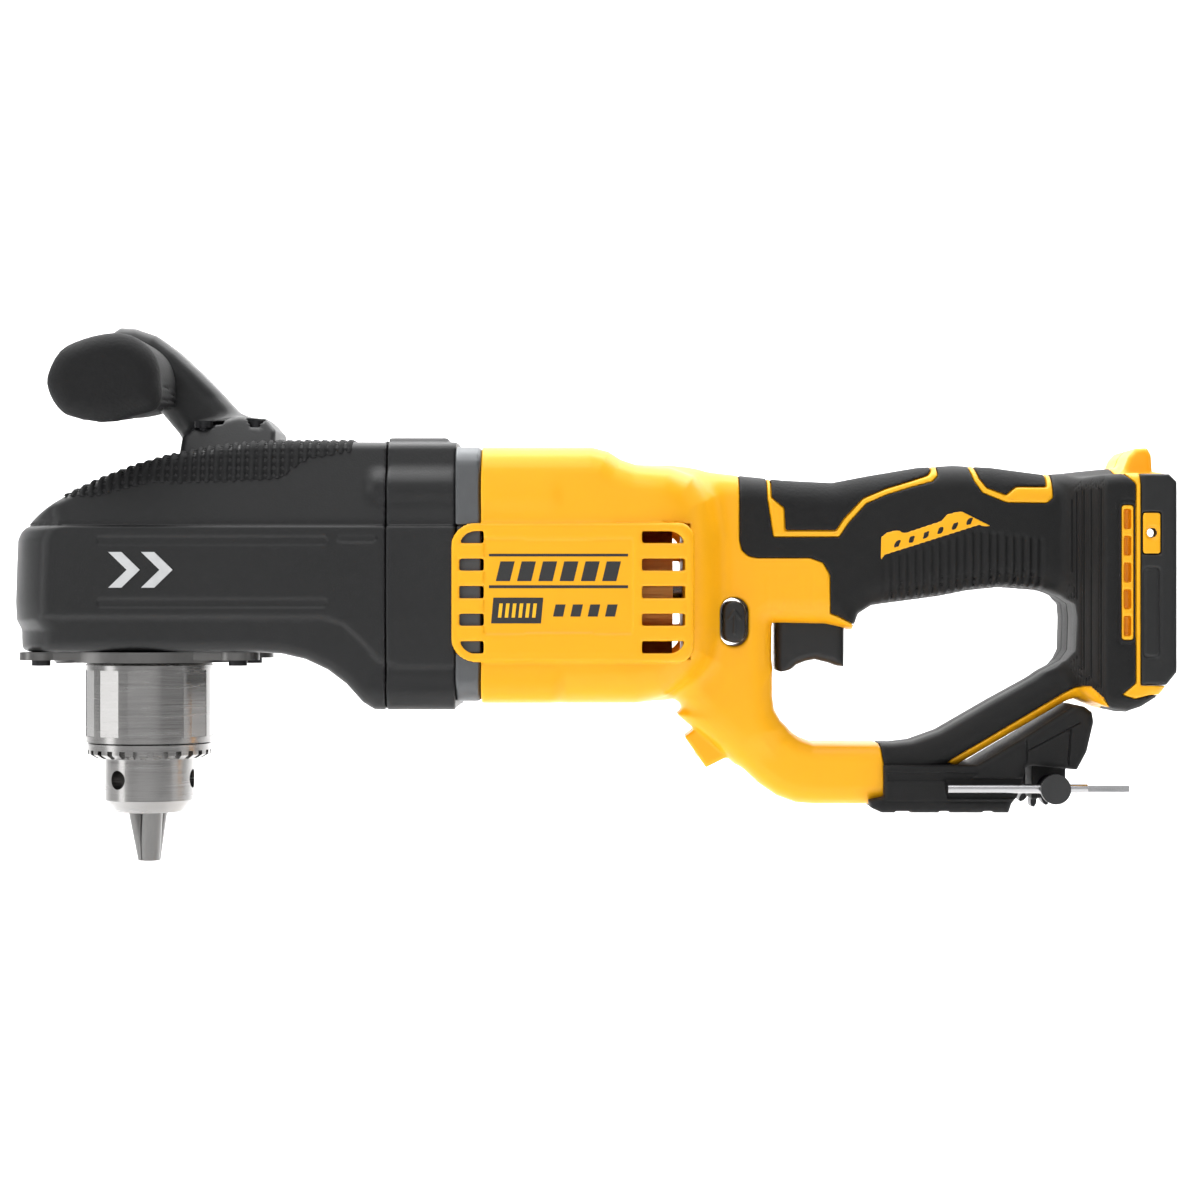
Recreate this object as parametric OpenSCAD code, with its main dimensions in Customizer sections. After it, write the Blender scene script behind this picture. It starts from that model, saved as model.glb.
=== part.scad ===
// Cordless right-angle stud and joist drill with a keyed chuck, a two-stage gear head,
// a brushless motor and a closed rear handle that carries a slide-on battery dock.
// Frame: origin on the spindle axis at the tip of the closed jaws, +Z up, +X to the rear.

/* [Overall] */
// Width of the gear head across Y
head_w = 77; // [72:1:96]
// Width of the motor housing across Y
motor_w = 80; // [74:1:100]
// Width of the handle across Y
grip_w = 37; // [34:1:44]
// Width of the lower bar across Y
bar_w = 32; // [28:1:34]
// Width of the battery dock across Y
dock_w = 77; // [72:1:92]
// Length of the hand opening
opening_len = 113.6; // [95:1:136]
// Height of the motor axis above the jaw tips
motor_z = 107; // [105:1:109]
// Reach of the gear head in front of the spindle axis
nose_r = 52.6; // [50:0.1:62]

/* [Shells] */
// Wall of the moulded housings
wall = 3; // [2.5:0.1:3.6]
// Thickness of the ribs inside the housings
rib_t = 2.4; // [1.6:0.1:3]
// Wall of the cast gear case
case_wall = 4; // [3.5:0.1:4.8]
// Thickness of the rubber overmould
skin = 1.6; // [1.2:0.1:2]
// Gap between the two housing halves
seam_gap = 0.1; // [0.05:0.01:0.2]
// Thickness of the bearing plate behind the head
ring_t = 9.9; // [8:0.1:12]

/* [Chuck] */
// Diameter of the chuck sleeve
sleeve_d = 50; // [48:1:60]
// Height of the chuck's upper face above the jaw tips
chuck_top = 78.2; // [78:0.1:80]
// Diameter of one jaw
jaw_d = 8; // [6.7:0.1:8.4]
// Slant of a jaw to the spindle axis
jaw_slant = 11.4; // [11:0.1:12]
// Radius of the pilot holes for the chuck key
pilot_r = 3.7; // [3:0.1:4.2]
// Running clearance of turning and sliding metal parts
run_fit = 0.05; // [0.02:0.01:0.1]

/* [Gears] */
// Module of the spindle gear pair
final_module = 1.5; // [1.25:0.05:1.6]
// Teeth of the spindle gear
final_teeth = 44; // [40:1:46]
// Teeth of the two cut pinions
pinion_teeth = 12; // [11:1:13]
// Module of the idler gear pair
idler_module = 1.25; // [1.1:0.05:1.3]
// Teeth of the idler gear
idler_teeth = 36; // [34:1:38]
// Module of the crown gear pair
crown_module = 1.5; // [1.3:0.05:1.55]
// Teeth of the crown gear
crown_teeth = 27; // [25:1:28]
// Teeth of the motor pinion
motor_teeth = 9; // [8:1:9]

/* [Shafts and bearings] */
// Diameter of the spindle
spindle_d = 16; // [14:1:18]
// Diameter of the idler shaft
idler_d = 8; // [7:0.5:9]
// Diameter of the crown gear shaft
crown_d = 8; // [7:0.5:9]
// Diameter of the rotor shaft
rotor_d = 8; // [7:0.5:9]
// Outer diameter of the stator
stator_d = 60; // [54:1:66]
// Length of the stator stack
stator_len = 40; // [34:1:44]

/* [Controls] */
// Width of the trigger across Y
trigger_w = 17; // [14:1:20]
// Travel of the trigger
trigger_travel = 6.5; // [5:0.5:7]
// Height of the direction button's face
button_h = 16.4; // [14:0.1:19]
// Width of the direction button's face
button_w = 8.6; // [7:0.1:10]

/* [Hidden] */
$fn = 48;
eps = 0.01;
fine = 96;
edge_steps = 2;
part_gap = 0.3;

// Heights and stations of the gear head
plate_bottom = chuck_top + 0.3;
plate_top = plate_bottom + 4.1;
head_bottom = plate_top;
crown_line = head_bottom + 82.4;
nose_top = head_bottom + 48.2;
crown_end = 55;
crown_r = 174.6;
head_back = 122.6;
head_seam = 96;
belly_z = head_bottom - 21.7;
housing_x = head_back + ring_t;

// Gear train stations
final_r = final_module * final_teeth / 2;
idler_x = final_r + final_module * pinion_teeth / 2;
idler_r = idler_module * idler_teeth / 2;
crown_x = idler_x + idler_r + idler_module * pinion_teeth / 2;
crown_pitch_r = crown_module * crown_teeth / 2;
motor_pitch_r = crown_module * motor_teeth / 2;
final_z = head_bottom + 9.6;
final_h = 8.6;
idler_z = final_z + final_h + 1.2;
idler_h = 6.8;
crown_z = motor_z + motor_pitch_r;
crown_plate = 4.5;
floor_t = 9;
backlash = 0.12;
bearing_h = 5;
spindle_bearing_r = spindle_d / 2 + 8;
spindle_bearing_h = 7;
small_bearing_r = idler_d / 2 + 3.5;
carrier_z = idler_z + idler_h + 1;
carrier_t = 6;
bridge_z = crown_z + crown_plate + 2.6;

// Housing stations
shift = opening_len - 113.6;
open_x0 = 246;
open_x1 = open_x0 + opening_len;
dock_x = 372 + shift;
dock_face = 384 + shift;
rear_x = 398 + shift;
bay_z = [70, 151];
housing_z0 = 63;
housing_z1 = 161.5;
trigger_z = 93.5;
trigger_top = 100;
switch_z = trigger_top + trigger_travel + 1.5;
slot_top = switch_z + 3.5;
slot_floor = trigger_z - 6;
slot_len = 28.2;
bridge_gap = 0.4;
bar_split = 80;
motor_back = 222;
motor_edge = 12;
grip_edge = 9;
bar_edge = 6;
dock_edge = 6;
head_edge = 7;

// Chuck stations
spindle_seat = 16;
screw_bore_r = 3;
nose_z = 24.1;
ring_z = 40.7;
sleeve_z = 46.3;
body_r = sleeve_d / 2 - 3.2;
jaw_r = jaw_d / 2;
jaw_axis_r = 0.47;
jaw_len = 45;
nut_h = 5;
nut_z = ring_z + 0.4;
nut_bore_r = jaw_axis_r + (nut_z + nut_h) * tan(jaw_slant) + jaw_r / cos(jaw_slant) + 0.12;
nose_body_r = 17.5;
pilot_z = 32.4;
pilot_turn = -126;
jaw_turns = [-66, 54, 174];

// Controls and fittings
button_x = 230;
button_z = 94.2;
button_travel = 2.5;
rotor_seat_r = rotor_d / 2 + 5;
grip_centre = [-8, 188.6];
grip_end_centre = [-8.4, 186.8];
grip_size = [20.4, 15.4];
grip_end_size = [22.3, 18];
grip_end_y = -32;
grip_edge_r = 10;
grip_y = [-58, 15];
grip_core_r = 6.5;
grip_core_y = [-50, 10];
arm_half = 11;
saddle_half = 24;
hook_half = 24;
saddle_x = [14, 52];
key_x = 353.5 + shift;
key_z = 29.7;
key_shaft_r = 4;
key_bar_r = 1.75;
key_bar_y = -20.5 - key_bar_r;
key_end = key_bar_y - key_bar_r - 1.5;

// ---------- shared shapes ----------

// Extrudes an X-Z outline across Y from y0 to y1
module across(y0, y1) {
    translate([0, y1, 0]) rotate([90, 0, 0]) linear_extrude(y1 - y0) children();
}

// Half of a body with stepped round edges; side is -1 for left and 1 for right
module soft_half(side, half, edge, inner = seam_gap / 2) {
    for (k = [0:edge_steps]) {
        turn = 90 * k / edge_steps;
        reach = half - edge + edge * sin(turn);
        across(side < 0 ? -reach : inner, side < 0 ? -inner : reach)
            offset(delta = -edge * (1 - cos(turn))) children();
    }
}

// Whole body with stepped round edges
module soft_body(half, edge) {
    for (k = [0:edge_steps]) {
        turn = 90 * k / edge_steps;
        reach = half - edge + edge * sin(turn);
        across(-reach, reach) offset(delta = -edge * (1 - cos(turn))) children();
    }
}

// Cylinder along +Z between two heights
module post(r, z0, z1) { translate([0, 0, z0]) cylinder(r = r, h = z1 - z0); }

// Tube along +Z between two heights
module tube(r_out, r_in, z0, z1) {
    difference() {
        post(r_out, z0, z1);
        post(r_in, z0 - 1, z1 + 1);
    }
}

// Cylinder along +X between two stations on the motor axis
module axle(r, x0, x1) { translate([x0, 0, motor_z]) rotate([0, 90, 0]) cylinder(r = r, h = x1 - x0); }

// Ring along +X on the motor axis
module ring_x(r_out, r_in, x0, x1) {
    difference() {
        axle(r_out, x0, x1);
        axle(r_in, x0 - 1, x1 + 1);
    }
}

// Points of an arc in the plane
function arc(c, r, a0, a1, n) = [for (i = [0:n]) let (a = a0 + (a1 - a0) * i / n) c + r * [cos(a), sin(a)]];

// Rounded slot outline, size [w, h], centred
module slot_outline(w, h) {
    r = min(w, h) / 2;
    square([w > h ? w - 2 * r : w, w > h ? h : h - 2 * r], center = true);
    for (s = [-1, 1]) translate(w > h ? [s * (w / 2 - r), 0] : [0, s * (h / 2 - r)]) circle(r);
}

// Involute of an angle, in degrees
function inv(a) = tan(a) * 180 / PI - a;

// Half angle of a tooth at radius r
function half_tooth(m, n, r) =
    let (rb = m * n / 2 * cos(20), q = max(r, rb))
    90 / n + inv(20) - inv(acos(rb / q)) - backlash / (m * n) * 180 / PI;

// Outline of a spur gear
module gear_outline(m, n) {
    root = m * (n / 2 - 1.25);
    tip = m * (n / 2 + 0.92);
    radii = [root, m * n / 2 - 0.45 * m, m * n / 2 + 0.2 * m, tip];
    polygon([for (t = [0:n - 1], s = [-1, 1], i = [0:3])
        let (r = radii[s < 0 ? i : 3 - i], a = 360 * t / n + s * half_tooth(m, n, r)) r * [cos(a), sin(a)]]);
}

// Ball bearing along +Z: outer ring, inner ring and balls as one stack with open races
module bearing(r_in, r_out, z0, h) {
    mid = (r_in + r_out) / 2;
    race = (r_out - r_in) * 0.3;
    tube(r_out, r_out - race, z0, z0 + h);
    tube(r_in + race, r_in, z0, z0 + h);
    tube(mid + race, mid - race, z0 + h * 0.35, z0 + h * 0.65);
}

// Pan-head screw along +Z, head up, seat at the origin
module screw(r, len, head_r, head_h) {
    difference() {
        union() {
            translate([0, 0, -len]) cylinder(r = r, h = len + eps);
            cylinder(r = head_r, h = head_h);
        }
        translate([0, 0, head_h * 0.4]) cylinder(r = head_r * 0.5, h = head_h, $fn = 6);
    }
}

// ---------- outlines of the head and the housing ----------

crown_centre = [crown_end, crown_line - crown_r];

module head_outline() {
    crown_start = acos((-48.8 - crown_end) / crown_r);
    polygon(concat(
        [[-nose_r - 2, head_bottom], [-nose_r - 2, nose_top - 2], [-nose_r + 3, nose_top - 0.2]],
        arc(crown_centre, crown_r, crown_start, 90, 8),
        [[head_back + head_edge, crown_line], [head_back + head_edge, belly_z], [88.6, belly_z], [82, belly_z + 5.2],
        [72, head_bottom - 8.4], [62, head_bottom - 2.4], [50.7, head_bottom]]));
}

module head_plan(inset = 0) {
    circle(nose_r - inset, $fn = fine);
    translate([0, -head_w]) square([head_back, 2 * head_w]);
}

module head_body(inset = 0) {
    intersection() {
        soft_body(head_w / 2 - inset, head_edge - inset / 2) offset(delta = -inset) head_outline();
        translate([0, 0, belly_z - 5]) linear_extrude(crown_line) head_plan(inset);
    }
}

module motor_outline() {
    x0 = housing_x - motor_edge;
    polygon([[x0, housing_z0], [198, housing_z0], [motor_back - 8, 68], [motor_back, 78],
        [motor_back, 146], [motor_back - 8, 154.8], [189, 155.2], [175, housing_z1], [x0, housing_z1]]);
}

module opening_outline() {
    x1 = open_x1;
    polygon([[open_x0, 64], [open_x0 + 1, 59], [open_x0 + 6, 52.6], [open_x0 + 14, 47.4], [x1 - 67, 47.4], [x1 - 49, 52.1],
        [x1 - 1.2, 79.8], [x1, 83], [x1, 102.7], [x1 - 4, 104.6], [x1 - 24.5, 107], [x1 - 48.2, 103.5],
        [x1 - 76.6, 99.9], [open_x0 + 33, 96.6], [open_x0 + 33.4, 90.5], [open_x0 + 29, 91.2],
        [open_x0 + 27, trigger_z], [open_x0, trigger_z]]);
}

module grip_outline() {
    difference() {
        polygon([[196, 70], [196, 155], [212, 154.8], [268.8, 149.7], [283, 152.1], [302, 155.2],
            [316, 156], [345 + shift, 153.7], [364 + shift, 151.7], [dock_x + 6, 154],
            [dock_x + 6, bar_split - 6], [open_x1 - 5, bar_split - 6], [open_x1 - 8, bar_split + 8],
            [open_x0 + 20, bar_split], [open_x0, 40], [231, 40], [212, 53.7]]);
        opening_outline();
    }
}

module bar_outline() {
    difference() {
        polygon([[212, 53.7], [211.9, 49.4], [221.3, 36.9], [231, 38.5], [245, 26.5], [254.6, 22.9],
            [open_x1 - 70, 22.9], [open_x1 - 58, 27], [open_x1 - 41, 37.9], [open_x1 + 8, 66.5],
            [dock_x + 6, 61], [dock_x + 6, 85], [open_x1 - 8, 90], [open_x0 + 20, bar_split - 2],
            [open_x0 - 4, 74], [224, 62]]);
        opening_outline();
    }
}

module dock_outline() {
    polygon([[dock_x - 12, 76], [dock_x - 6, 66], [dock_x + 6, 59.5], [dock_face, 60.5], [rear_x, 66],
        [rear_x + dock_edge, 72], [rear_x + dock_edge, 150], [rear_x, 155.5],
        [dock_x + 10, 155.5], [dock_x - 1, 153.2], [dock_x - 12, 151.8]]);
}

// Block of every Y and Z between two stations
module slice_x(x0, x1, z0 = 0, z1 = 250) { translate([x0, -100, z0]) cube([x1 - x0, 200, z1 - z0]); }

module housing_solid(side, inset = 0) {
    intersection() {
        soft_half(side, motor_w / 2 - inset, motor_edge) offset(delta = -inset) motor_outline();
        slice_x(housing_x, motor_back);
    }
    soft_half(side, grip_w / 2 - inset, grip_edge) offset(delta = -inset) grip_outline();
    soft_half(side, bar_w / 2 - inset, bar_edge) offset(delta = -inset) bar_outline();
    intersection() {
        difference() {
            soft_half(side, dock_w / 2 - inset, dock_edge) offset(delta = -inset) dock_outline();
            slice_x(dock_face - inset, rear_x + 20, bay_z[0] - inset, bay_z[1] + inset);
        }
        slice_x(dock_x - 20, rear_x - inset);
    }
}

// Region of the housing that the rubber covers
module skin_region() {
    polygon([[231.7, 170], [231.7, 123], [235.5, 119.3], [263, 119.3], [269.7, 113], [269.7, 96.5],
        [300, 80], [open_x1 - 71, 47.4], [open_x1 - 71, 10], [dock_x + 10, 10], [dock_x + 12, 170]]);
}

panel_x0 = housing_x - 11.5;
panel_x1 = 213.7;
panel_t = 1.3;
panel_drop = 27.9;
panel_h = 52.9;
vent_pitch = 10.4;
vent_h = 4.6;
vent_front_len = 9.2;
vent_rear_len = 17.9;
vent_depth = 8;
vent_z = [for (k = [-2:2]) motor_z - 1.2 + k * vent_pitch];

module vent_cuts(side) {
    y0 = side > 0 ? motor_w / 2 - vent_depth + 2 : -motor_w / 2 - 2;
    for (z = vent_z) {
        translate([panel_x0 + 3.2, y0, z - vent_h / 2]) cube([vent_front_len, vent_depth, vent_h]);
        translate([panel_x1 - 19.8, y0, z - vent_h / 2]) cube([vent_rear_len, vent_depth, vent_h]);
    }
}

// Bosses in the housing halves, [x, z]
grip_bosses = [[228, 136], [252, 136], [304, 142], [350 + shift, 128], [228, 66]];
bar_bosses = [[262, 35], [330 + shift, 54.6]];
boss_spots = concat(grip_bosses, bar_bosses);
boss_r = 5;
case_boss_len = 14;
screw_r = 1.75;
screw_head_r = 3.2;
screw_seat_y = 4;

// Wells in the right half that lead the screws to their seats
module screw_wells() {
    for (p = boss_spots) translate([p[0], screw_seat_y, p[1]]) rotate([-90, 0, 0])
        cylinder(r = screw_head_r + part_gap, h = grip_w);
}

module boss(side, p, len) {
    translate([p[0], side < 0 ? -seam_gap / 2 : len + seam_gap / 2, p[1]]) rotate([90, 0, 0])
        cylinder(r = boss_r, h = len);
}

// Ribs that hold the stator, the switch and the controller
module inner_ribs() {
    difference() {
        union() {
            for (x = [stator_x0 + 4, stator_x1 - 6]) slice_x(x, x + rib_t, housing_z0, housing_z1);
            slice_x(open_x0 + 14, open_x0 + 14 + rib_t, trigger_z + 10, 140);
            for (x = [open_x0 + 62, open_x0 + 86]) slice_x(x, x + rib_t, 100, 140);
        }
        axle(stator_d / 2 + run_fit, housing_x, motor_back);
        switch_block(run_fit);
        controller_block(run_fit);
    }
}

module housing_half(side) {
    difference() {
        union() {
            difference() {
                housing_solid(side);
                difference() {
                    housing_solid(side, wall);
                    // Wall that parts the motor bay from the handle
                    across(-motor_w, motor_w) translate([motor_back - wall, 0]) square([wall, 200]);
                }
                // Outer layer given over to the rubber
                difference() {
                    across(-dock_w, dock_w) skin_region();
                    housing_solid(side, skin);
                }
            }
            intersection() {
                union() {
                    inner_ribs();
                    for (p = grip_bosses) boss(side, p, grip_w / 2 - wall + 0.5);
                    for (p = bar_bosses) boss(side, p, bar_w / 2 - wall + 0.5);
                }
                housing_solid(side, skin + 0.4);
            }
            across(side < 0 ? -hook_half : seam_gap / 2, side < 0 ? -seam_gap / 2 : hook_half) hook_outline();
            // Vent panel, which reaches forward over the bearing plate
            translate([panel_x0, side < 0 ? -motor_w / 2 : motor_w / 2 - panel_t, motor_z - panel_drop])
                cube([panel_x1 - panel_x0, panel_t, panel_h]);
            intersection() {
                for (p = case_screw_spots) case_boss(p, housing_x, housing_x + case_boss_len, motor_w / 2);
                housing_solid(side, 1);
            }
        }
        vent_cuts(side);
        for (p = boss_spots) translate([p[0], 0, p[1]]) rotate([90, 0, 0])
            cylinder(r = screw_r + run_fit, h = 2 * grip_w, center = true);
        if (side > 0) screw_wells();
        lamp_pocket();
        case_screw_holes();
        for (p = case_screw_spots) translate([housing_x + case_boss_len, p[0], p[1]]) rotate([0, 90, 0])
            cylinder(r = case_head_r + part_gap, h = 8);
        // Trigger slot
        across(-trigger_w / 2 - part_gap, trigger_w / 2 + part_gap)
            translate([open_x0 + 0.2, slot_floor]) square([slot_len, slot_top - slot_floor]);
        // Button window
        across(-grip_w, grip_w) translate([button_x, button_z]) slot_outline(button_w + 2 * part_gap, button_h + 2 * part_gap);
        // Wall behind the motor is open for the rotor bearing
        axle(rotor_seat_r, motor_back - wall - 1, motor_back + 1);
    }
}

module hook_outline() {
    polygon([[dock_x + 9, 153], [dock_x + 13, 161.5], [dock_x + 17.6, 161.8], [dock_x + 19.2, 159], [dock_x + 19.6, 153]]);
}

// ---------- gear head ----------

module gearcase_cavity() {
    difference() {
        head_body(case_wall);
        translate([-nose_r, -head_w / 2, belly_z - 5]) cube([nose_r + 82, head_w, head_bottom + floor_t - belly_z + 5]);
    }
}

module bearing_pocket(x, r, depth) {
    translate([x, 0, head_bottom + floor_t - depth]) cylinder(r = r, h = depth + 1);
}

case_screw_y = min(head_w, motor_w) / 2 - 7.5;
case_screw_spots = [for (y = [-case_screw_y, case_screw_y], z = [69.5, 145]) [y, z]];
case_screw_r = 2;
case_head_r = 3.6;

// Screw boss along X with a web out to the side wall
module case_boss(p, x0, x1, half) {
    translate([x0, p[0], p[1]]) rotate([0, 90, 0]) cylinder(r = case_screw_r + 4, h = x1 - x0);
    translate([x0, p[0] > 0 ? p[0] : -half, p[1] - case_screw_r])
        cube([x1 - x0, half - abs(p[0]), 2 * case_screw_r]);
}

module case_screw_holes() {
    for (p = case_screw_spots) translate([head_seam + 4, p[0], p[1]]) rotate([0, 90, 0])
        cylinder(r = case_screw_r + run_fit, h = 80);
}

module gearcase_front() {
    color([0.16, 0.16, 0.17]) difference() {
        intersection() {
            head_body();
            slice_x(-100, head_seam);
        }
        gearcase_cavity();
        bearing_pocket(0, spindle_bearing_r, spindle_bearing_h);
        bearing_pocket(idler_x, small_bearing_r, bearing_h);
        bearing_pocket(crown_x, small_bearing_r, bearing_h);
        post(spindle_d / 2 + 2, head_bottom - 1, head_bottom + floor_t);
        base_screw_holes();
        saddle_screw_holes();
    }
}

module gearcase_rear() {
    color([0.16, 0.16, 0.17]) difference() {
        union() {
            difference() {
                intersection() {
                    head_body();
                    slice_x(head_seam, head_back);
                }
                gearcase_cavity();
            }
            intersection() {
                for (p = case_screw_spots) case_boss(p, head_seam + 2, head_back, head_w / 2);
                head_body(1);
            }
        }
        case_screw_holes();
    }
}

module plate_outline() {
    z0 = housing_z0 + 0.8;
    translate([head_back - head_edge, z0]) square([ring_t + 2 * head_edge, housing_z1 - z0]);
}

module bearing_plate() {
    color([0.36, 0.37, 0.38]) difference() {
        intersection() {
            soft_body(min(head_w / 2 - 0.5, motor_w / 2 - panel_t - 0.2), head_edge) plate_outline();
            slice_x(head_back, housing_x);
        }
        axle(rotor_seat_r, head_back - 1, housing_x + 1);
        case_screw_holes();
    }
}

base_spots = [for (x = [-38, 38], y = [-24, 24]) [x, y]];
base_screw_r = 2;

module base_screw_holes() {
    for (p = base_spots) translate([p[0], p[1], plate_bottom - 1]) cylinder(r = base_screw_r + run_fit, h = 12);
}

module base_plate() {
    color([0.36, 0.37, 0.38]) difference() {
        union() {
            post(37, plate_bottom, plate_top);
            for (p = base_spots) translate([p[0], p[1], plate_bottom + 1]) cylinder(r = 8.3, h = plate_top - plate_bottom - 1);
            translate([-38, -30, plate_bottom + 1]) cube([76, 60, plate_top - plate_bottom - 1]);
        }
        post(spindle_d / 2 + 3, plate_bottom - 1, plate_top + 1);
        base_screw_holes();
    }
}

module base_screws() {
    color([0.3, 0.3, 0.31]) for (p = base_spots)
        translate([p[0], p[1], plate_bottom + 1]) rotate([180, 0, 0]) screw(base_screw_r, 10, 3.6, 2.2);
}

pad_t = 1.8;

module top_pad() {
    color([0.1, 0.1, 0.1]) difference() {
        across(-29, 29) intersection() {
            difference() {
                offset(delta = pad_t) head_outline();
                head_outline();
            }
            translate([-30, 130]) square([112, 60]);
        }
        translate([saddle_x[0] - part_gap, -saddle_half - part_gap, 130])
            cube([saddle_x[1] - saddle_x[0] + 2 * part_gap, 2 * (saddle_half + part_gap), 60]);
    }
}

saddle_screw_spots = [[44, -15], [44, 15], [24, -18], [24, 18]];
saddle_seat_z = 169.5;
saddle_screw_r = 2;

module saddle_screw_holes() {
    for (p = saddle_screw_spots) translate([p[0], p[1], saddle_seat_z - 16]) cylinder(r = saddle_screw_r + run_fit, h = 30);
}

module saddle_screws() {
    color([0.3, 0.3, 0.31]) for (p = saddle_screw_spots) translate([p[0], p[1], saddle_seat_z])
        screw(saddle_screw_r, 14, case_head_r, 2.6);
}

module arm_outline() {
    polygon([[-4, 184], [4.1, 178.1], [17, 163.5], [46, 168], [39.7, 173.6], [35.7, 176.5], [27.8, 185.2],
        [19.9, 193.1], [12, 200.6], [4.1, 206.4], [-3.8, 209.2], [-9.7, 209.5], [-14, 206], [-16, 196]]);
}

// Core of the side handle, cast in one with the arm
module grip_core() {
    translate([grip_centre[0], grip_core_y[1], grip_centre[1]]) rotate([90, 0, 0])
        cylinder(r = grip_core_r, h = grip_core_y[1] - grip_core_y[0]);
}

module handle_saddle() {
    color([0.16, 0.16, 0.17]) difference() {
        union() {
            soft_body(saddle_half, 5)
                polygon([[saddle_x[0], 155], [saddle_x[1], 155], [saddle_x[1], 168.5], [47, 174], [36, 174.5], [15.5, 169]]);
            soft_body(arm_half, 4) arm_outline();
            grip_core();
        }
        across(-head_w, head_w) head_outline();
        saddle_screw_holes();
        for (p = saddle_screw_spots) translate([p[0], p[1], saddle_seat_z]) cylinder(r = 3.9, h = 8);
    }
}

// Length of the side handle between two stations, with a slightly squared oval section
module grip_length(centre, size, y0, y1) {
    translate([0, (y0 + y1) / 2, 0]) soft_body((y1 - y0) / 2, grip_edge_r) polygon([for (a = [0:10:350])
        centre + [size[0] * cos(a) * (1 - 0.06 * pow(sin(2 * a), 2)), size[1] * sin(a)]]);
}

module side_handle_grip() {
    color([0.1, 0.1, 0.1]) difference() {
        union() {
            grip_length(grip_centre, grip_size, grip_y[0] + grip_edge_r, grip_y[1]);
            grip_length(grip_end_centre, grip_end_size, grip_y[0], grip_end_y);
        }
        soft_body(arm_half, 4) arm_outline();
        grip_core();
    }
}

// ---------- gear train ----------

module gear(x, m, n, z, h, turn) {
    translate([x, 0, z]) rotate(turn) linear_extrude(h) gear_outline(m, n);
}

// Turn that puts a tooth space at 180 degrees
function space_turn(n) = n % 2 == 0 ? 180 / n : 0;

module spindle() {
    color([0.6, 0.6, 0.62]) difference() {
        union() {
            post(spindle_d / 2, chuck_top - spindle_seat, carrier_z + carrier_t);
            post(spindle_d / 2 + 1.6, plate_bottom + 0.4, head_bottom + 1.8);
        }
        post(screw_bore_r, chuck_top - spindle_seat - 1, chuck_top);
    }
}

module spindle_gear() {
    color([0.55, 0.55, 0.57]) difference() {
        gear(0, final_module, final_teeth, final_z, final_h, 0);
        post(spindle_d / 2, final_z - 1, final_z + final_h + 1);
        for (a = [0:60:300]) rotate(a) translate([final_r * 0.6, 0, final_z - 1]) cylinder(r = 4.5, h = final_h + 2);
    }
}

module spindle_bearings() {
    color([0.7, 0.7, 0.72]) {
        bearing(spindle_d / 2 + run_fit, spindle_bearing_r, head_bottom + floor_t - spindle_bearing_h, spindle_bearing_h);
        bearing(spindle_d / 2 + run_fit, spindle_bearing_r - 3, carrier_z, carrier_t);
    }
}

module idler_shaft() {
    color([0.6, 0.6, 0.62]) {
        translate([idler_x, 0, head_bottom + 4.2]) cylinder(d = idler_d, h = carrier_z + bearing_h - head_bottom - 4.2);
        gear(idler_x, final_module, pinion_teeth, final_z - 0.3, final_h + 0.6, space_turn(pinion_teeth));
    }
}

module idler_gear() {
    color([0.55, 0.55, 0.57]) difference() {
        gear(idler_x, idler_module, idler_teeth, idler_z, idler_h, 0);
        translate([idler_x, 0, idler_z - 1]) cylinder(d = idler_d, h = idler_h + 2);
    }
}

module idler_bearings() {
    color([0.7, 0.7, 0.72]) translate([idler_x, 0, 0]) {
        bearing(idler_d / 2 + run_fit, small_bearing_r, head_bottom + floor_t - bearing_h, bearing_h);
        bearing(idler_d / 2 + run_fit, small_bearing_r, carrier_z, bearing_h);
    }
}

module crown_shaft() {
    color([0.6, 0.6, 0.62]) {
        translate([crown_x, 0, head_bottom + 4.2]) cylinder(d = crown_d, h = bridge_z + bearing_h - head_bottom - 4.2);
        gear(crown_x, idler_module, pinion_teeth, idler_z - 0.3, idler_h + 0.6, space_turn(pinion_teeth));
    }
}

module crown_gear() {
    face = motor_z + crown_module * (motor_teeth / 2 + 0.92) + 0.25;
    depth = crown_module * 2.1;
    color([0.55, 0.55, 0.57]) translate([crown_x, 0, 0]) difference() {
        union() {
            post(crown_pitch_r + 0.3, face, face + crown_plate);
            for (t = [0:crown_teeth - 1], k = [0:2]) rotate(360 * t / crown_teeth) {
                w = (1.1 + 1.1 * k) * 27 / crown_teeth;
                translate([0, 0, face - depth * (3 - k) / 3]) linear_extrude(depth / 3 + eps)
                    polygon([for (e = [[0.7, -1], [1, -1], [1, 1], [0.7, 1]])
                        crown_pitch_r * e[0] * [cos(w * e[1]), sin(w * e[1])]]);
            }
        }
        post(crown_d / 2, 0, 200);
    }
}

module crown_bearings() {
    color([0.7, 0.7, 0.72]) translate([crown_x, 0, 0]) {
        bearing(crown_d / 2 + run_fit, small_bearing_r, head_bottom + floor_t - bearing_h, bearing_h);
        bearing(crown_d / 2 + run_fit, small_bearing_r, bridge_z, bearing_h);
    }
}

// Plate across the case that holds the upper spindle and idler bearings
module bearing_carrier() {
    half = head_w / 2 - case_wall;
    color([0.5, 0.5, 0.52]) difference() {
        intersection() {
            translate([-30, -half, carrier_z]) cube([idler_x + 38, 2 * half, carrier_t]);
            head_body(case_wall);
        }
        post(spindle_bearing_r - 3, carrier_z - 1, carrier_z + 7);
        translate([idler_x, 0, carrier_z - 1]) cylinder(r = small_bearing_r, h = 8);
        translate([crown_x, 0, carrier_z - 1]) cylinder(r = crown_pitch_r + 1, h = 8);
    }
}

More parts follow.
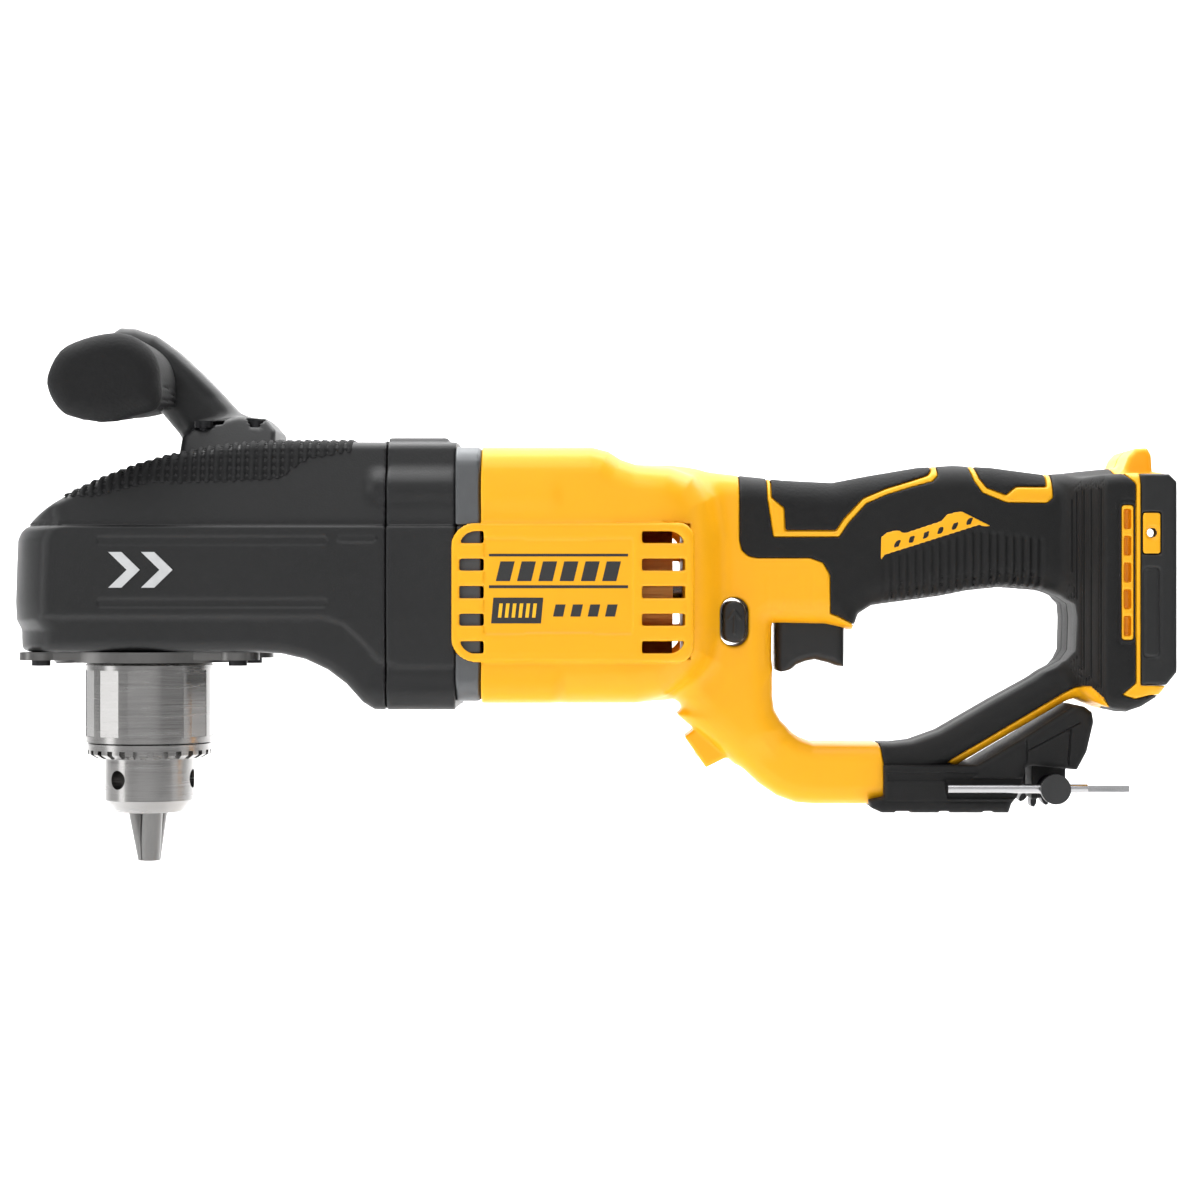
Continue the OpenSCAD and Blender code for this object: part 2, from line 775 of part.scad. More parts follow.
// Bridge that holds the upper crown gear bearing
module crown_bridge() {
    half = head_w / 2 - case_wall;
    color([0.5, 0.5, 0.52]) difference() {
        translate([crown_x - 13, -half, bridge_z]) cube([23, 2 * half, bearing_h]);
        translate([crown_x, 0, bridge_z - 1]) cylinder(r = small_bearing_r, h = bearing_h + 2);
    }
}

// ---------- chuck ----------

module jaw_bore(turn, r, z0, len) {
    rotate(turn) translate([jaw_axis_r, 0, 0]) rotate([0, jaw_slant, 0]) translate([0, 0, z0]) cylinder(r = r, h = len);
}

module chuck_body() {
    color([0.62, 0.62, 0.64]) difference() {
        rotate_extrude($fn = fine) difference() {
            polygon([[0, 19.4], [13.7, 19.4], [nose_body_r, nose_z], [nose_body_r, sleeve_z + 0.2],
                [body_r, sleeve_z + 0.2], [body_r, chuck_top - 0.6], [body_r - 0.6, chuck_top], [0, chuck_top]]);
            translate([nut_bore_r - 0.5, nut_z - 0.1]) square([10, nut_h + 0.2]);
        }
        post(6.7, 10, 51);
        post(3.2, 50, chuck_top - 10);
        post(spindle_d / 2, chuck_top - spindle_seat, chuck_top + 1);
        for (a = jaw_turns) jaw_bore(a, jaw_r + run_fit, 5, 90);
        for (k = [0:2]) rotate(pilot_turn + 120 * k) translate([8.5, 0, pilot_z]) rotate([0, 90, 0])
            cylinder(r = pilot_r, h = 20);
    }
}

module chuck_screw() {
    color([0.3, 0.3, 0.31]) difference() {
        union() {
            post(5, 47, 51);
            post(screw_bore_r, 50, chuck_top - 4);
        }
        translate([0, 0, 46]) cylinder(r = 2.5, h = 3, $fn = 6);
    }
}

module jaw(turn) {
    color([0.5, 0.5, 0.52]) intersection() {
        jaw_bore(turn, jaw_r, -5, jaw_len + 5);
        rotate(turn) linear_extrude(jaw_len + 5) polygon([[0.25, 0], [30.25, 51.9], [30.25, -51.9]]);
    }
}

module jaw_1() { jaw(jaw_turns[0]); }

module jaw_2() { jaw(jaw_turns[1]); }

module jaw_3() { jaw(jaw_turns[2]); }

module chuck_nut() {
    color([0.6, 0.6, 0.62]) tube(nose_body_r + run_fit, nut_bore_r, nut_z, nut_z + nut_h);
}

sleeve_teeth = 27;
sleeve_flats = 12;

module chuck_sleeve() {
    inner = body_r + 2 * run_fit;
    color([0.72, 0.72, 0.74]) difference() {
        union() {
            rotate_extrude($fn = fine) polygon([[inner, sleeve_z], [sleeve_d / 2, sleeve_z + 0.6],
                [sleeve_d / 2, chuck_top - 1], [sleeve_d / 2 - 1, chuck_top], [inner, chuck_top]]);
            rotate_extrude($fn = fine) polygon([[nose_body_r + run_fit, ring_z], [sleeve_d / 2 - 3.5, ring_z],
                [sleeve_d / 2 - 0.8, ring_z + 1.6], [sleeve_d / 2 - 0.8, sleeve_z], [nose_body_r + run_fit, sleeve_z]]);
        }
        for (t = [0:sleeve_teeth - 1]) rotate(360 * t / sleeve_teeth)
            translate([sleeve_d / 2 - 4.2, -1.2, ring_z - 1]) cube([5, 2.4, 4.2]);
        for (t = [0:sleeve_flats - 1]) rotate(360 * t / sleeve_flats)
            translate([sleeve_d / 2 - 0.55, -4.6, sleeve_z + 3]) cube([2, 9.2, chuck_top - sleeve_z - 6]);
    }
}

// ---------- motor ----------

stator_x0 = 150;
stator_x1 = stator_x0 + stator_len;
rotor_core_r = 15.5;
stator_bore_r = rotor_core_r + 0.5;

module rotor_shaft() {
    color([0.6, 0.6, 0.62]) axle(rotor_d / 2, crown_x + crown_pitch_r, motor_back - 0.6);
}

module motor_pinion() {
    length = crown_pitch_r * 0.3;
    color([0.55, 0.55, 0.57]) translate([crown_x + crown_pitch_r, 0, motor_z]) {
        rotate([0, -90, 0]) linear_extrude(length, scale = 0.7) rotate(180 / motor_teeth)
            gear_outline(crown_module, motor_teeth);
    }
}

module rotor_core() {
    color([0.5, 0.5, 0.52]) ring_x(rotor_core_r, rotor_d / 2, stator_x0, stator_x1);
}

module stator() {
    color([0.3, 0.3, 0.32]) ring_x(stator_d / 2, stator_bore_r + 5, stator_x0, stator_x1);
}

module windings() {
    color([0.72, 0.4, 0.16]) {
        ring_x(stator_d / 2 - 3, stator_bore_r, stator_x0 - 6, stator_x0);
        ring_x(stator_bore_r + 5, stator_bore_r, stator_x0, stator_x1);
        ring_x(stator_d / 2 - 3, stator_bore_r, stator_x1, stator_x1 + 16);
    }
}

fan_blades = 13;

module cooling_fan() {
    color([0.2, 0.2, 0.2]) {
        ring_x(10, rotor_d / 2, housing_x + 1.2, housing_x + 9);
        ring_x(26, 9, housing_x + 7.6, housing_x + 9);
        for (k = [0:fan_blades - 1]) translate([housing_x + 1.2, 0, motor_z]) rotate([360 * k / fan_blades, 0, 0])
            translate([0, 9, -0.6]) cube([6.5, 16.5, 1.2]);
    }
}

module x_bearing(x0, x1) {
    race = (rotor_seat_r - rotor_d / 2) * 0.3;
    mid = (rotor_seat_r + rotor_d / 2) / 2;
    ring_x(rotor_seat_r, rotor_seat_r - race, x0, x1);
    ring_x(rotor_d / 2 + race, rotor_d / 2 + run_fit, x0, x1);
    ring_x(mid + race, mid - race, x0 + 1.6, x1 - 1.6);
}

module motor_bearings() {
    color([0.7, 0.7, 0.72]) {
        x_bearing(head_back + 1, head_back + 7);
        x_bearing(motor_back - wall - 2, motor_back);
    }
}

// ---------- housing ----------

module housing_left() { color([1, 0.72, 0.05]) housing_half(-1); }

module housing_right() { color([1, 0.72, 0.05]) housing_half(1); }

front_pad_region = [[245, 175], [245, 128], [270.6, 128], [281, 140.3], [307.4, 148.8], [309, 175]];
rear_pad_region = [[322, 175], [326, 145.5], [336, 147], [353.6, 147], [353.6, 175]];

module overmould(side) {
    color([0.16, 0.16, 0.17]) difference() {
        intersection() {
            difference() {
                housing_solid(side);
                housing_solid(side, skin);
            }
            across(-dock_w, dock_w) skin_region();
        }
        across(-grip_w, grip_w) {
            polygon(front_pad_region);
            translate([shift, 0]) polygon(rear_pad_region);
        }
        across(-dock_w, dock_w) translate([open_x0, slot_floor]) square([slot_len + bridge_gap, slot_top - slot_floor]);
        across(-hook_half, hook_half) hook_outline();
        if (side > 0) screw_wells();
    }
}

module overmould_left() { overmould(-1); }

module overmould_right() { overmould(1); }

module grip_pad(region, dx) {
    color([0.1, 0.1, 0.1]) intersection() {
        difference() {
            soft_body(grip_w / 2, grip_edge) grip_outline();
            soft_body(grip_w / 2 - skin, grip_edge) offset(delta = -skin) grip_outline();
        }
        difference() {
            across(-grip_w, grip_w) translate([dx, 0]) polygon(region);
            screw_wells();
        }
    }
}

module grip_pad_front() { grip_pad(front_pad_region, 0); }

module grip_pad_rear() { grip_pad(rear_pad_region, shift); }

module housing_screws() {
    color([0.3, 0.3, 0.31]) for (p = boss_spots) translate([p[0], screw_seat_y, p[1]]) rotate([-90, 0, 0])
        screw(screw_r, 16, screw_head_r, 2);
}

module gearcase_screws() {
    color([0.3, 0.3, 0.31]) for (p = case_screw_spots) translate([housing_x + case_boss_len, p[0], p[1]]) rotate([0, 90, 0])
        screw(case_screw_r, 44, case_head_r, 2.6);
}

module trigger() {
    color([0.12, 0.12, 0.12]) {
        soft_body(trigger_w / 2, 2) polygon([[open_x0 + 0.6, 67.5], [open_x0 + 4, 71.5], [open_x0 + 9, 77],
            [open_x0 + 16, 79.4], [open_x0 + 22, 78], [open_x0 + 27.6, 76.6], [open_x0 + 27.8, trigger_top],
            [open_x0 + 0.6, trigger_top]]);
    }
}

// Block of the switch, grown by a clearance
module switch_block(gap) {
    translate([open_x0 + 3 - gap, -8 - gap, switch_z - gap]) cube([24 + 2 * gap, 16 + 2 * gap, 14 + 2 * gap]);
}

module trigger_switch() {
    color([0.25, 0.25, 0.26]) switch_block(0);
}

module direction_button() {
    reach = grip_w / 2 + button_travel + 0.9;
    color([0.12, 0.12, 0.12]) across(-reach, reach)
        translate([button_x, button_z]) slot_outline(button_w, button_h);
}

// Block of the motor controller, grown by a clearance
module controller_block(gap) {
    translate([open_x0 + 54 - gap, -10 - gap, 116 - gap]) cube([44 + 2 * gap, 20 + 2 * gap, 18 + 2 * gap]);
}

module controller() {
    color([0.1, 0.3, 0.15]) controller_block(0);
}

lamp_seat = [216.6, 43.1];
lamp_slant = 36.5;
lamp_r = 4.5;
lamp_t = 2.4;

module led_lamp() {
    color([0.95, 0.95, 0.9]) translate([lamp_seat[0], 0, lamp_seat[1]]) rotate([0, 90 + lamp_slant, 0])
        translate([0, 0, -lamp_t / 2]) cylinder(r = lamp_r, h = lamp_t);
}

// Seat of the lamp in the housing
module lamp_pocket() {
    translate([lamp_seat[0], 0, lamp_seat[1]]) rotate([0, 90 + lamp_slant, 0])
        translate([0, 0, -lamp_t]) cylinder(r = lamp_r + run_fit, h = 1.5 * lamp_t);
}

// ---------- battery dock ----------

rail_lip = 4;
rail_x0 = dock_face;
rail_z = [bay_z[0] + 0.2, bay_z[1] - 0.2];
rail_side = 6.5;
hook_spot = [388.4 + shift, 128.4];
hook_hole_r = 1.65;

module rail_cover(side) {
    outer = dock_w / 2;
    color([0.14, 0.14, 0.15]) difference() {
        union() {
            across(side < 0 ? -outer : outer - rail_side, side < 0 ? rail_side - outer : outer)
                polygon([[rail_x0, rail_z[0]], [rear_x - 4, rail_z[0]], [rear_x, rail_z[0] + 5],
                    [rear_x, rail_z[1] - 3], [rear_x - 3, rail_z[1]], [rail_x0, rail_z[1]]]);
            across(side < 0 ? -outer + 1 : outer - 12, side < 0 ? 12 - outer : outer - 1)
                translate([rear_x - rail_lip, rail_z[0] + 6]) square([rail_lip, rail_z[1] - rail_z[0] - 12]);
        }
        for (z = rail_screw_z) translate([rail_x0 - 1, side * (outer - 3.2), z]) rotate([0, 90, 0])
            cylinder(r = 1.25, h = 30);
        translate([hook_spot[0], 0, hook_spot[1]]) rotate([90, 0, 0])
            cylinder(r = hook_hole_r, h = 2 * dock_w, center = true);
    }
}

rail_screw_z = [84, 137];

module rail_cover_left() { rail_cover(-1); }

module rail_cover_right() { rail_cover(1); }

module rail_screws() {
    color([0.3, 0.3, 0.31]) for (side = [-1, 1], z = rail_screw_z)
        translate([rear_x - 4, side * (dock_w / 2 - 3.2), z]) rotate([0, 90, 0]) cylinder(r = 1.2, h = 3.5);
}

module terminal_block() {
    color([0.12, 0.12, 0.12]) translate([dock_face, -13, 92]) cube([7, 26, 38]);
}

module terminals() {
    color([0.8, 0.6, 0.3]) for (y = [-9, -4.5, 0, 4.5, 9])
        translate([dock_face + 7, y - 0.4, 97]) cube([5.5, 0.8, 28]);
}

// ---------- chuck key and its holder ----------

holder_half = 20;
key_gear_y = 20.6;
key_gear_h = 8.4;
key_gear_module = 1.6;
key_gear_teeth = 11;

module key_holder() {
    x0 = open_x1 - 73;
    clip = key_shaft_r + 0.2;
    color([0.12, 0.12, 0.12]) difference() {
        soft_body(holder_half, 2) polygon([[x0 - 4.6, 25], [x0 - 3.4, 21.8], [x0 + 0.8, 19.9], [x0 + 50, 19.9],
            [x0 + 51.2, 23.6], [x0 + 53.4, 26.3], [x0 + 55.5, 32.5], [x0 + 56.8, 38], [x0 + 60, 38.4],
            [x0 + 76.6, 36.6], [x0 + 80.4, 43.8], [x0 + 83.2, 55.4], [x0 + 82.4, 59.3], [x0 + 79.4, 61.6],
            [x0 + 75.5, 62], [x0 + 57, 50], [x0 + 38, 38.7], [x0 + 1.4, 38.7], [x0 + 1.4, 26.3]]);
        soft_body(bar_w / 2, bar_edge) bar_outline();
        // Room between the arm's cheeks for the key
        across(-30, 30) translate([key_x - clip, 0]) square([2 * clip, key_z]);
    }
    // Clip around the key's shaft
    color([0.12, 0.12, 0.12]) difference() {
        translate([key_x - clip - 2.5, -9, key_z - 5]) cube([2 * clip + 5, 17, 16]);
        translate([key_x - clip, -20, 0]) cube([2 * clip, 40, key_z]);
        translate([key_x, 20, key_z]) rotate([90, 0, 0]) cylinder(r = clip, h = 40);
    }
}

module y_post(r, y0, y1) { translate([key_x, y1, key_z]) rotate([90, 0, 0]) cylinder(r = r, h = y1 - y0); }

module chuck_key() {
    color([0.66, 0.66, 0.68]) difference() {
        union() {
            y_post(key_shaft_r, key_end, 10);
            y_post(key_shaft_r - 0.7, 9, key_gear_y + key_gear_h + 6);
            translate([key_x, key_gear_y + key_gear_h, key_z]) rotate([90, 0, 0]) linear_extrude(key_gear_h) gear_outline(key_gear_module, key_gear_teeth);
        }
        translate([0, key_bar_y, key_z]) rotate([0, 90, 0]) translate([0, 0, key_x - 20]) cylinder(r = key_bar_r, h = 40);
    }
}

module key_bar() {
    color([0.66, 0.66, 0.68]) translate([0, key_bar_y, key_z]) rotate([0, 90, 0]) {
        translate([0, 0, key_x - 41]) cylinder(r = key_bar_r, h = 54);
        translate([-1.2, -1.7, key_x + 13]) cube([2.4, 3.4, 16]);
    }
}

module key_cap() {
    color([0.12, 0.12, 0.12]) y_post(5.8, key_end - 2.5, key_end);
}

gearcase_front();
gearcase_rear();
bearing_plate();
base_plate();
base_screws();
top_pad();
handle_saddle();
side_handle_grip();
saddle_screws();
spindle();
spindle_gear();
spindle_bearings();
idler_shaft();
idler_gear();
idler_bearings();
crown_shaft();
crown_gear();
crown_bearings();
bearing_carrier();
crown_bridge();
chuck_body();
chuck_sleeve();
chuck_nut();
jaw_1();
jaw_2();
jaw_3();
chuck_screw();
rotor_shaft();
rotor_core();
stator();
windings();
cooling_fan();
motor_bearings();
motor_pinion();
housing_left();
housing_right();
overmould_left();
overmould_right();
housing_screws();
gearcase_screws();
trigger();
trigger_switch();
direction_button();
controller();
led_lamp();
rail_cover_left();
rail_cover_right();
rail_screws();
terminal_block();
terminals();
grip_pad_front();
grip_pad_rear();
key_holder();
chuck_key();
key_bar();
key_cap();
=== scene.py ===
"""Looks of the right-angle drill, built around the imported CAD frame.

Lengths in the modelling functions are millimetres in the row frame: X to the rear, Y across, Z up,
origin at the closed jaw tips. They become metres when a mesh is made.
"""
import math

import bmesh
import bpy
import numpy as np
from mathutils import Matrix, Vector


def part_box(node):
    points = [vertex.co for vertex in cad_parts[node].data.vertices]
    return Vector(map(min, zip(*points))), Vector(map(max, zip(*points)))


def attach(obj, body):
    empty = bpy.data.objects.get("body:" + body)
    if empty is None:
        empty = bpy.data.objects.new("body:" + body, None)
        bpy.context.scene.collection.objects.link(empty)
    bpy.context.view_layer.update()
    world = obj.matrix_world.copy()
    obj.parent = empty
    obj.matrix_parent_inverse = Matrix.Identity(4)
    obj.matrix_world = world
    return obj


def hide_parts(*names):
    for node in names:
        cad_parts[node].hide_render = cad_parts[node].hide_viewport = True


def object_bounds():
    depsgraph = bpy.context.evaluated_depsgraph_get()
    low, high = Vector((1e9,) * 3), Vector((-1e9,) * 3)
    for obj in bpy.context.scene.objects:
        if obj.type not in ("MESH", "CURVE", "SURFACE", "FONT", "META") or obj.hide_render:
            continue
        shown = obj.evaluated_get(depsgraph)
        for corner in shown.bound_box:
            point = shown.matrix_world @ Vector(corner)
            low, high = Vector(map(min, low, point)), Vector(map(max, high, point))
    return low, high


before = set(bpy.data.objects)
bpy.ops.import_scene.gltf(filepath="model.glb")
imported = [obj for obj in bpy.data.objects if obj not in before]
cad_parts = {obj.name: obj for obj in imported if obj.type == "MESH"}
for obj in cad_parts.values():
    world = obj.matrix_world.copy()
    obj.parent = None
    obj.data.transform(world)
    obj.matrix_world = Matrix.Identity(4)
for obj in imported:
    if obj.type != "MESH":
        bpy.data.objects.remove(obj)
cad_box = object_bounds()
MM = 0.001


def box_mm(node):
    """Corners of a CAD node in millimetres."""
    low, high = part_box(node)
    return np.array(low) / MM, np.array(high) / MM


# ---------------------------------------------------------------- distance fields

def polygon_field(px, pz, points):
    """Signed distance to a closed polygon, negative inside."""
    points = np.asarray(points, float)
    best = np.full(px.shape, 1e9)
    inside = np.zeros(px.shape, bool)
    for a, b in zip(points, np.roll(points, -1, axis=0)):
        edge = b - a
        along = ((px - a[0]) * edge[0] + (pz - a[1]) * edge[1]) / max(edge @ edge, 1e-9)
        along = np.clip(along, 0, 1)
        best = np.minimum(best, (px - a[0] - along * edge[0]) ** 2 + (pz - a[1] - along * edge[1]) ** 2)
        crosses = (a[1] > pz) != (b[1] > pz)
        if a[1] != b[1]:
            inside ^= crosses & (px < a[0] + (pz - a[1]) * edge[0] / (b[1] - a[1]))
    return np.where(inside, -1, 1) * np.sqrt(best)


def line_field(px, pz, points, half):
    """Distance to a polyline with a half width."""
    best = np.full(px.shape, 1e9)
    points = np.asarray(points, float)
    for a, b in zip(points[:-1], points[1:]):
        edge = b - a
        along = np.clip(((px - a[0]) * edge[0] + (pz - a[1]) * edge[1]) / max(edge @ edge, 1e-9), 0, 1)
        best = np.minimum(best, (px - a[0] - along * edge[0]) ** 2 + (pz - a[1] - along * edge[1]) ** 2)
    return np.sqrt(best) - half


def rect_field(px, pz, centre, size, r=0.0):
    dx = np.abs(px - centre[0]) - size[0] / 2 + r
    dz = np.abs(pz - centre[1]) - size[1] / 2 + r
    return np.sqrt(np.maximum(dx, 0) ** 2 + np.maximum(dz, 0) ** 2) + np.minimum(np.maximum(dx, dz), 0) - r


def slab(flat, across, half, r):
    """Outline swept across a half width with edges rounded by r."""
    a = flat + r
    b = across - half + r
    return np.sqrt(np.maximum(a, 0) ** 2 + np.maximum(b, 0) ** 2) + np.minimum(np.maximum(a, b), 0) - r


def common(*fields):
    """Shape that all the fields share."""
    whole = fields[0]
    for field in fields[1:]:
        whole = np.maximum(whole, field)
    return whole


def cut(body, *tool):
    """Body without the shape that the tool's fields share."""
    return np.maximum(body, -common(*tool))


def soft_min(a, b, k):
    h = np.clip(0.5 + 0.5 * (b - a) / k, 0, 1)
    return b + (a - b) * h - k * h * (1 - h)


def soft_max(a, b, k):
    return -soft_min(-a, -b, k)


def curve(points, n=6):
    """Closed Catmull-Rom curve through the points."""
    points = np.asarray(points, float)
    out = []
    count = len(points)
    for i in range(count):
        p0, p1, p2, p3 = (points[(i + k) % count] for k in (-1, 0, 1, 2))
        for t in np.arange(n) / n:
            out.append(0.5 * ((2 * p1) + (-p0 + p2) * t + (2 * p0 - 5 * p1 + 4 * p2 - p3) * t ** 2
                              + (-p0 + 3 * p1 - 3 * p2 + p3) * t ** 3))
    return np.array(out)


# ---------------------------------------------------------------- meshing

class Grid:
    """Regular sample points over a box, in millimetres."""

    def __init__(self, low, high, step):
        self.step = step
        self.low = np.asarray(low, float)
        counts = np.maximum(np.ceil((np.asarray(high, float) - self.low) / step).astype(int) + 1, 3)
        axes = [self.low[k] + step * np.arange(counts[k]) for k in range(3)]
        self.x = axes[0][:, None, None].astype(np.float32)
        self.y = axes[1][None, :, None].astype(np.float32)
        self.z = axes[2][None, None, :].astype(np.float32)
        self.shape = tuple(counts)


def surface_net(grid, field):
    """Vertices and quads of the zero surface of a sampled field, moved onto the true surface."""
    d = np.ascontiguousarray(np.broadcast_to(field, grid.shape), dtype=np.float32)
    sign = d < 0
    sizes = tuple(n - 1 for n in grid.shape)
    flats, places, crossings = [], [], []
    for axis in range(3):
        first, second = [slice(None)] * 3, [slice(None)] * 3
        first[axis], second[axis] = slice(0, -1), slice(1, None)
        a, b = d[tuple(first)], d[tuple(second)]
        cross = sign[tuple(first)] != sign[tuple(second)]
        index = np.argwhere(cross)
        a, b = a[cross], b[cross]
        where = index.astype(np.float32)
        where[:, axis] += a / (a - b)
        crossings.append((axis, index, a < 0))
        u, v = [k for k in range(3) if k != axis]
        for du in (0, -1):
            for dv in (0, -1):
                cell = index.copy()
                cell[:, u] += du
                cell[:, v] += dv
                ok = (cell[:, u] >= 0) & (cell[:, v] >= 0) & (cell[:, u] < sizes[u]) & (cell[:, v] < sizes[v])
                flats.append(np.ravel_multi_index(cell[ok].T, sizes))
                places.append(where[ok])
    used, number = np.unique(np.concatenate(flats), return_inverse=True)
    places = np.concatenate(places)
    hits = np.bincount(number)
    verts = np.stack([np.bincount(number, weights=places[:, k]) / hits for k in range(3)], axis=1)
    quads = []
    for axis, index, inside in crossings:
        u, v = [k for k in range(3) if k != axis]
        ok = (index[:, u] > 0) & (index[:, v] > 0) & (index[:, u] < sizes[u]) & (index[:, v] < sizes[v])
        index, inside = index[ok], inside[ok]
        corner = []
        for du, dv in ((-1, -1), (0, -1), (0, 0), (-1, 0)):
            cell = index.copy()
            cell[:, u] += du
            cell[:, v] += dv
            corner.append(np.searchsorted(used, np.ravel_multi_index(cell.T, sizes)))
        quad = np.stack(corner, axis=1)
        backward = inside if axis == 1 else ~inside
        quad[backward] = quad[backward][:, ::-1]
        quads.append(quad)
    return grid.low + project(d, verts) * grid.step, np.concatenate(quads)


def project(d, verts):
    """Moves vertices along the field's gradient onto the zero surface, at most half a cell."""
    for _ in range(3):
        value, slope = sample(d, verts)
        length = np.maximum((slope ** 2).sum(1), 1e-6)
        move = -value[:, None] * slope / length[:, None]
        verts = verts + np.clip(move, -0.35, 0.35)
    return verts


def sample(d, verts):
    """Value and gradient of a field between its grid points."""
    limit = np.array(d.shape) - 2
    base = np.clip(np.floor(verts).astype(int), 0, limit)
    f = np.clip(verts - base, 0, 1)
    c = {}
    for i in (0, 1):
        for j in (0, 1):
            for k in (0, 1):
                c[i, j, k] = d[base[:, 0] + i, base[:, 1] + j, base[:, 2] + k]
    fx, fy, fz = f.T
    c00 = c[0, 0, 0] * (1 - fx) + c[1, 0, 0] * fx
    c01 = c[0, 0, 1] * (1 - fx) + c[1, 0, 1] * fx
    c10 = c[0, 1, 0] * (1 - fx) + c[1, 1, 0] * fx
    c11 = c[0, 1, 1] * (1 - fx) + c[1, 1, 1] * fx
    c0 = c00 * (1 - fy) + c10 * fy
    c1 = c01 * (1 - fy) + c11 * fy
    value = c0 * (1 - fz) + c1 * fz
    gx = (((c[1, 0, 0] - c[0, 0, 0]) * (1 - fy) + (c[1, 1, 0] - c[0, 1, 0]) * fy) * (1 - fz)
          + ((c[1, 0, 1] - c[0, 0, 1]) * (1 - fy) + (c[1, 1, 1] - c[0, 1, 1]) * fy) * fz)
    gy = (c10 - c00) * (1 - fz) + (c11 - c01) * fz
    return value, np.stack([gx, gy, c1 - c0], axis=1)


def make_piece(name, verts, faces, material, body, replaces=(), mirror=False):
    """Blender object from millimetre vertices and quads, riding on a CAD body."""
    verts = np.asarray(verts, np.float32) * MM
    faces = np.asarray(faces, np.int32)
    if mirror:
        verts = verts * np.float32((1, -1, 1))
        faces = faces[:, ::-1]
    mesh = bpy.data.meshes.new(name)
    corners = faces.shape[1]
    mesh.vertices.add(len(verts))
    mesh.vertices.foreach_set("co", np.ascontiguousarray(verts, np.float32).ravel())
    mesh.loops.add(faces.size)
    mesh.loops.foreach_set("vertex_index", np.ascontiguousarray(faces, np.int32).ravel())
    mesh.polygons.add(len(faces))
    mesh.polygons.foreach_set("loop_start", np.arange(len(faces), dtype=np.int32) * corners)
    mesh.polygons.foreach_set("use_smooth", np.ones(len(faces), bool))
    mesh.update(calc_edges=True)
    mesh.validate()
    piece = bpy.data.objects.new(name, mesh)
    bpy.context.collection.objects.link(piece)
    mesh.materials.append(material)
    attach(piece, body)
    for node in replaces:
        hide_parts(node)
    return piece


def shrink(piece, ratio):
    """Thins a dense mesh where it is flat."""
    modifier = piece.modifiers.new("thin", "DECIMATE")
    modifier.ratio = ratio
    return piece


def flat_axes(grid):
    """The grid's X and Z as full 2-D arrays."""
    return np.broadcast_arrays(grid.x[:, 0, :], grid.z[:, 0, :])


def raise_flat(field):
    return field[:, None, :]


def ease(field, width):
    """1 inside a 2-D field, 0 outside, with a soft edge."""
    return np.clip(0.5 - field / width, 0, 1)


def carve(name, grid, field, material, body, replaces=(), mirror=False, thin=None):
    verts, faces = surface_net(grid, field)
    piece = make_piece(name, verts, faces, material, body, replaces, mirror)
    if thin:
        shrink(piece, thin)
    return piece


def mirrored_pair(stem, grid, field, material, body, nodes, thin=None, right_cut=None):
    """A piece for the left side and its mirror image for the right."""
    verts, faces = surface_net(grid, field)
    pieces = []
    for side in ("left", "right"):
        node = [nodes[side]] if nodes else []
        if side == "right" and right_cut is not None:
            verts, faces = surface_net(grid, cut(field, right_cut))
        piece = make_piece(f"{stem}_{side}", verts, faces, material, body, node, side == "right")
        if thin:
            shrink(piece, thin)
        pieces.append(piece)
    return pieces


# ---------------------------------------------------------------- materials

def node_tree(name):
    material = bpy.data.materials.new(name)
    material.use_nodes = True
    nodes = material.node_tree.nodes
    return material, nodes, material.node_tree.links, nodes["Principled BSDF"]


def add_noise(nodes, links, scale, detail=3.0, kind="ShaderNodeTexNoise"):
    place = nodes.get("Place") or nodes.new("ShaderNodeTexCoord")
    place.name = "Place"
    noise = nodes.new(kind)
    noise.inputs["Scale"].default_value = scale
    if "Detail" in noise.inputs:
        noise.inputs["Detail"].default_value = detail
    links.new(place.outputs["Object"], noise.inputs["Vector"])
    return noise


def ramp(nodes, links, source, stops):
    node = nodes.new("ShaderNodeValToRGB")
    elements = node.color_ramp.elements
    for index, (place, value) in enumerate(stops):
        element = elements[index] if index < 2 else elements.new(place)
        element.position = place
        element.color = tuple(value) + (1,) if len(tuple(value)) == 3 else tuple(value)
    links.new(source, node.inputs["Fac"])
    return node


def vary_roughness(nodes, links, shader, noise, low, high):
    spread = nodes.new("ShaderNodeMapRange")
    spread.inputs["To Min"].default_value = low
    spread.inputs["To Max"].default_value = high
    links.new(noise.outputs["Fac"], spread.inputs["Value"])
    links.new(spread.outputs["Result"], shader.inputs["Roughness"])


def add_bump(nodes, links, shader, noise, strength, distance):
    bump = nodes.new("ShaderNodeBump")
    bump.inputs["Strength"].default_value = strength
    bump.inputs["Distance"].default_value = distance
    links.new(noise.outputs["Fac"], bump.inputs["Height"])
    links.new(bump.outputs["Normal"], shader.inputs["Normal"])


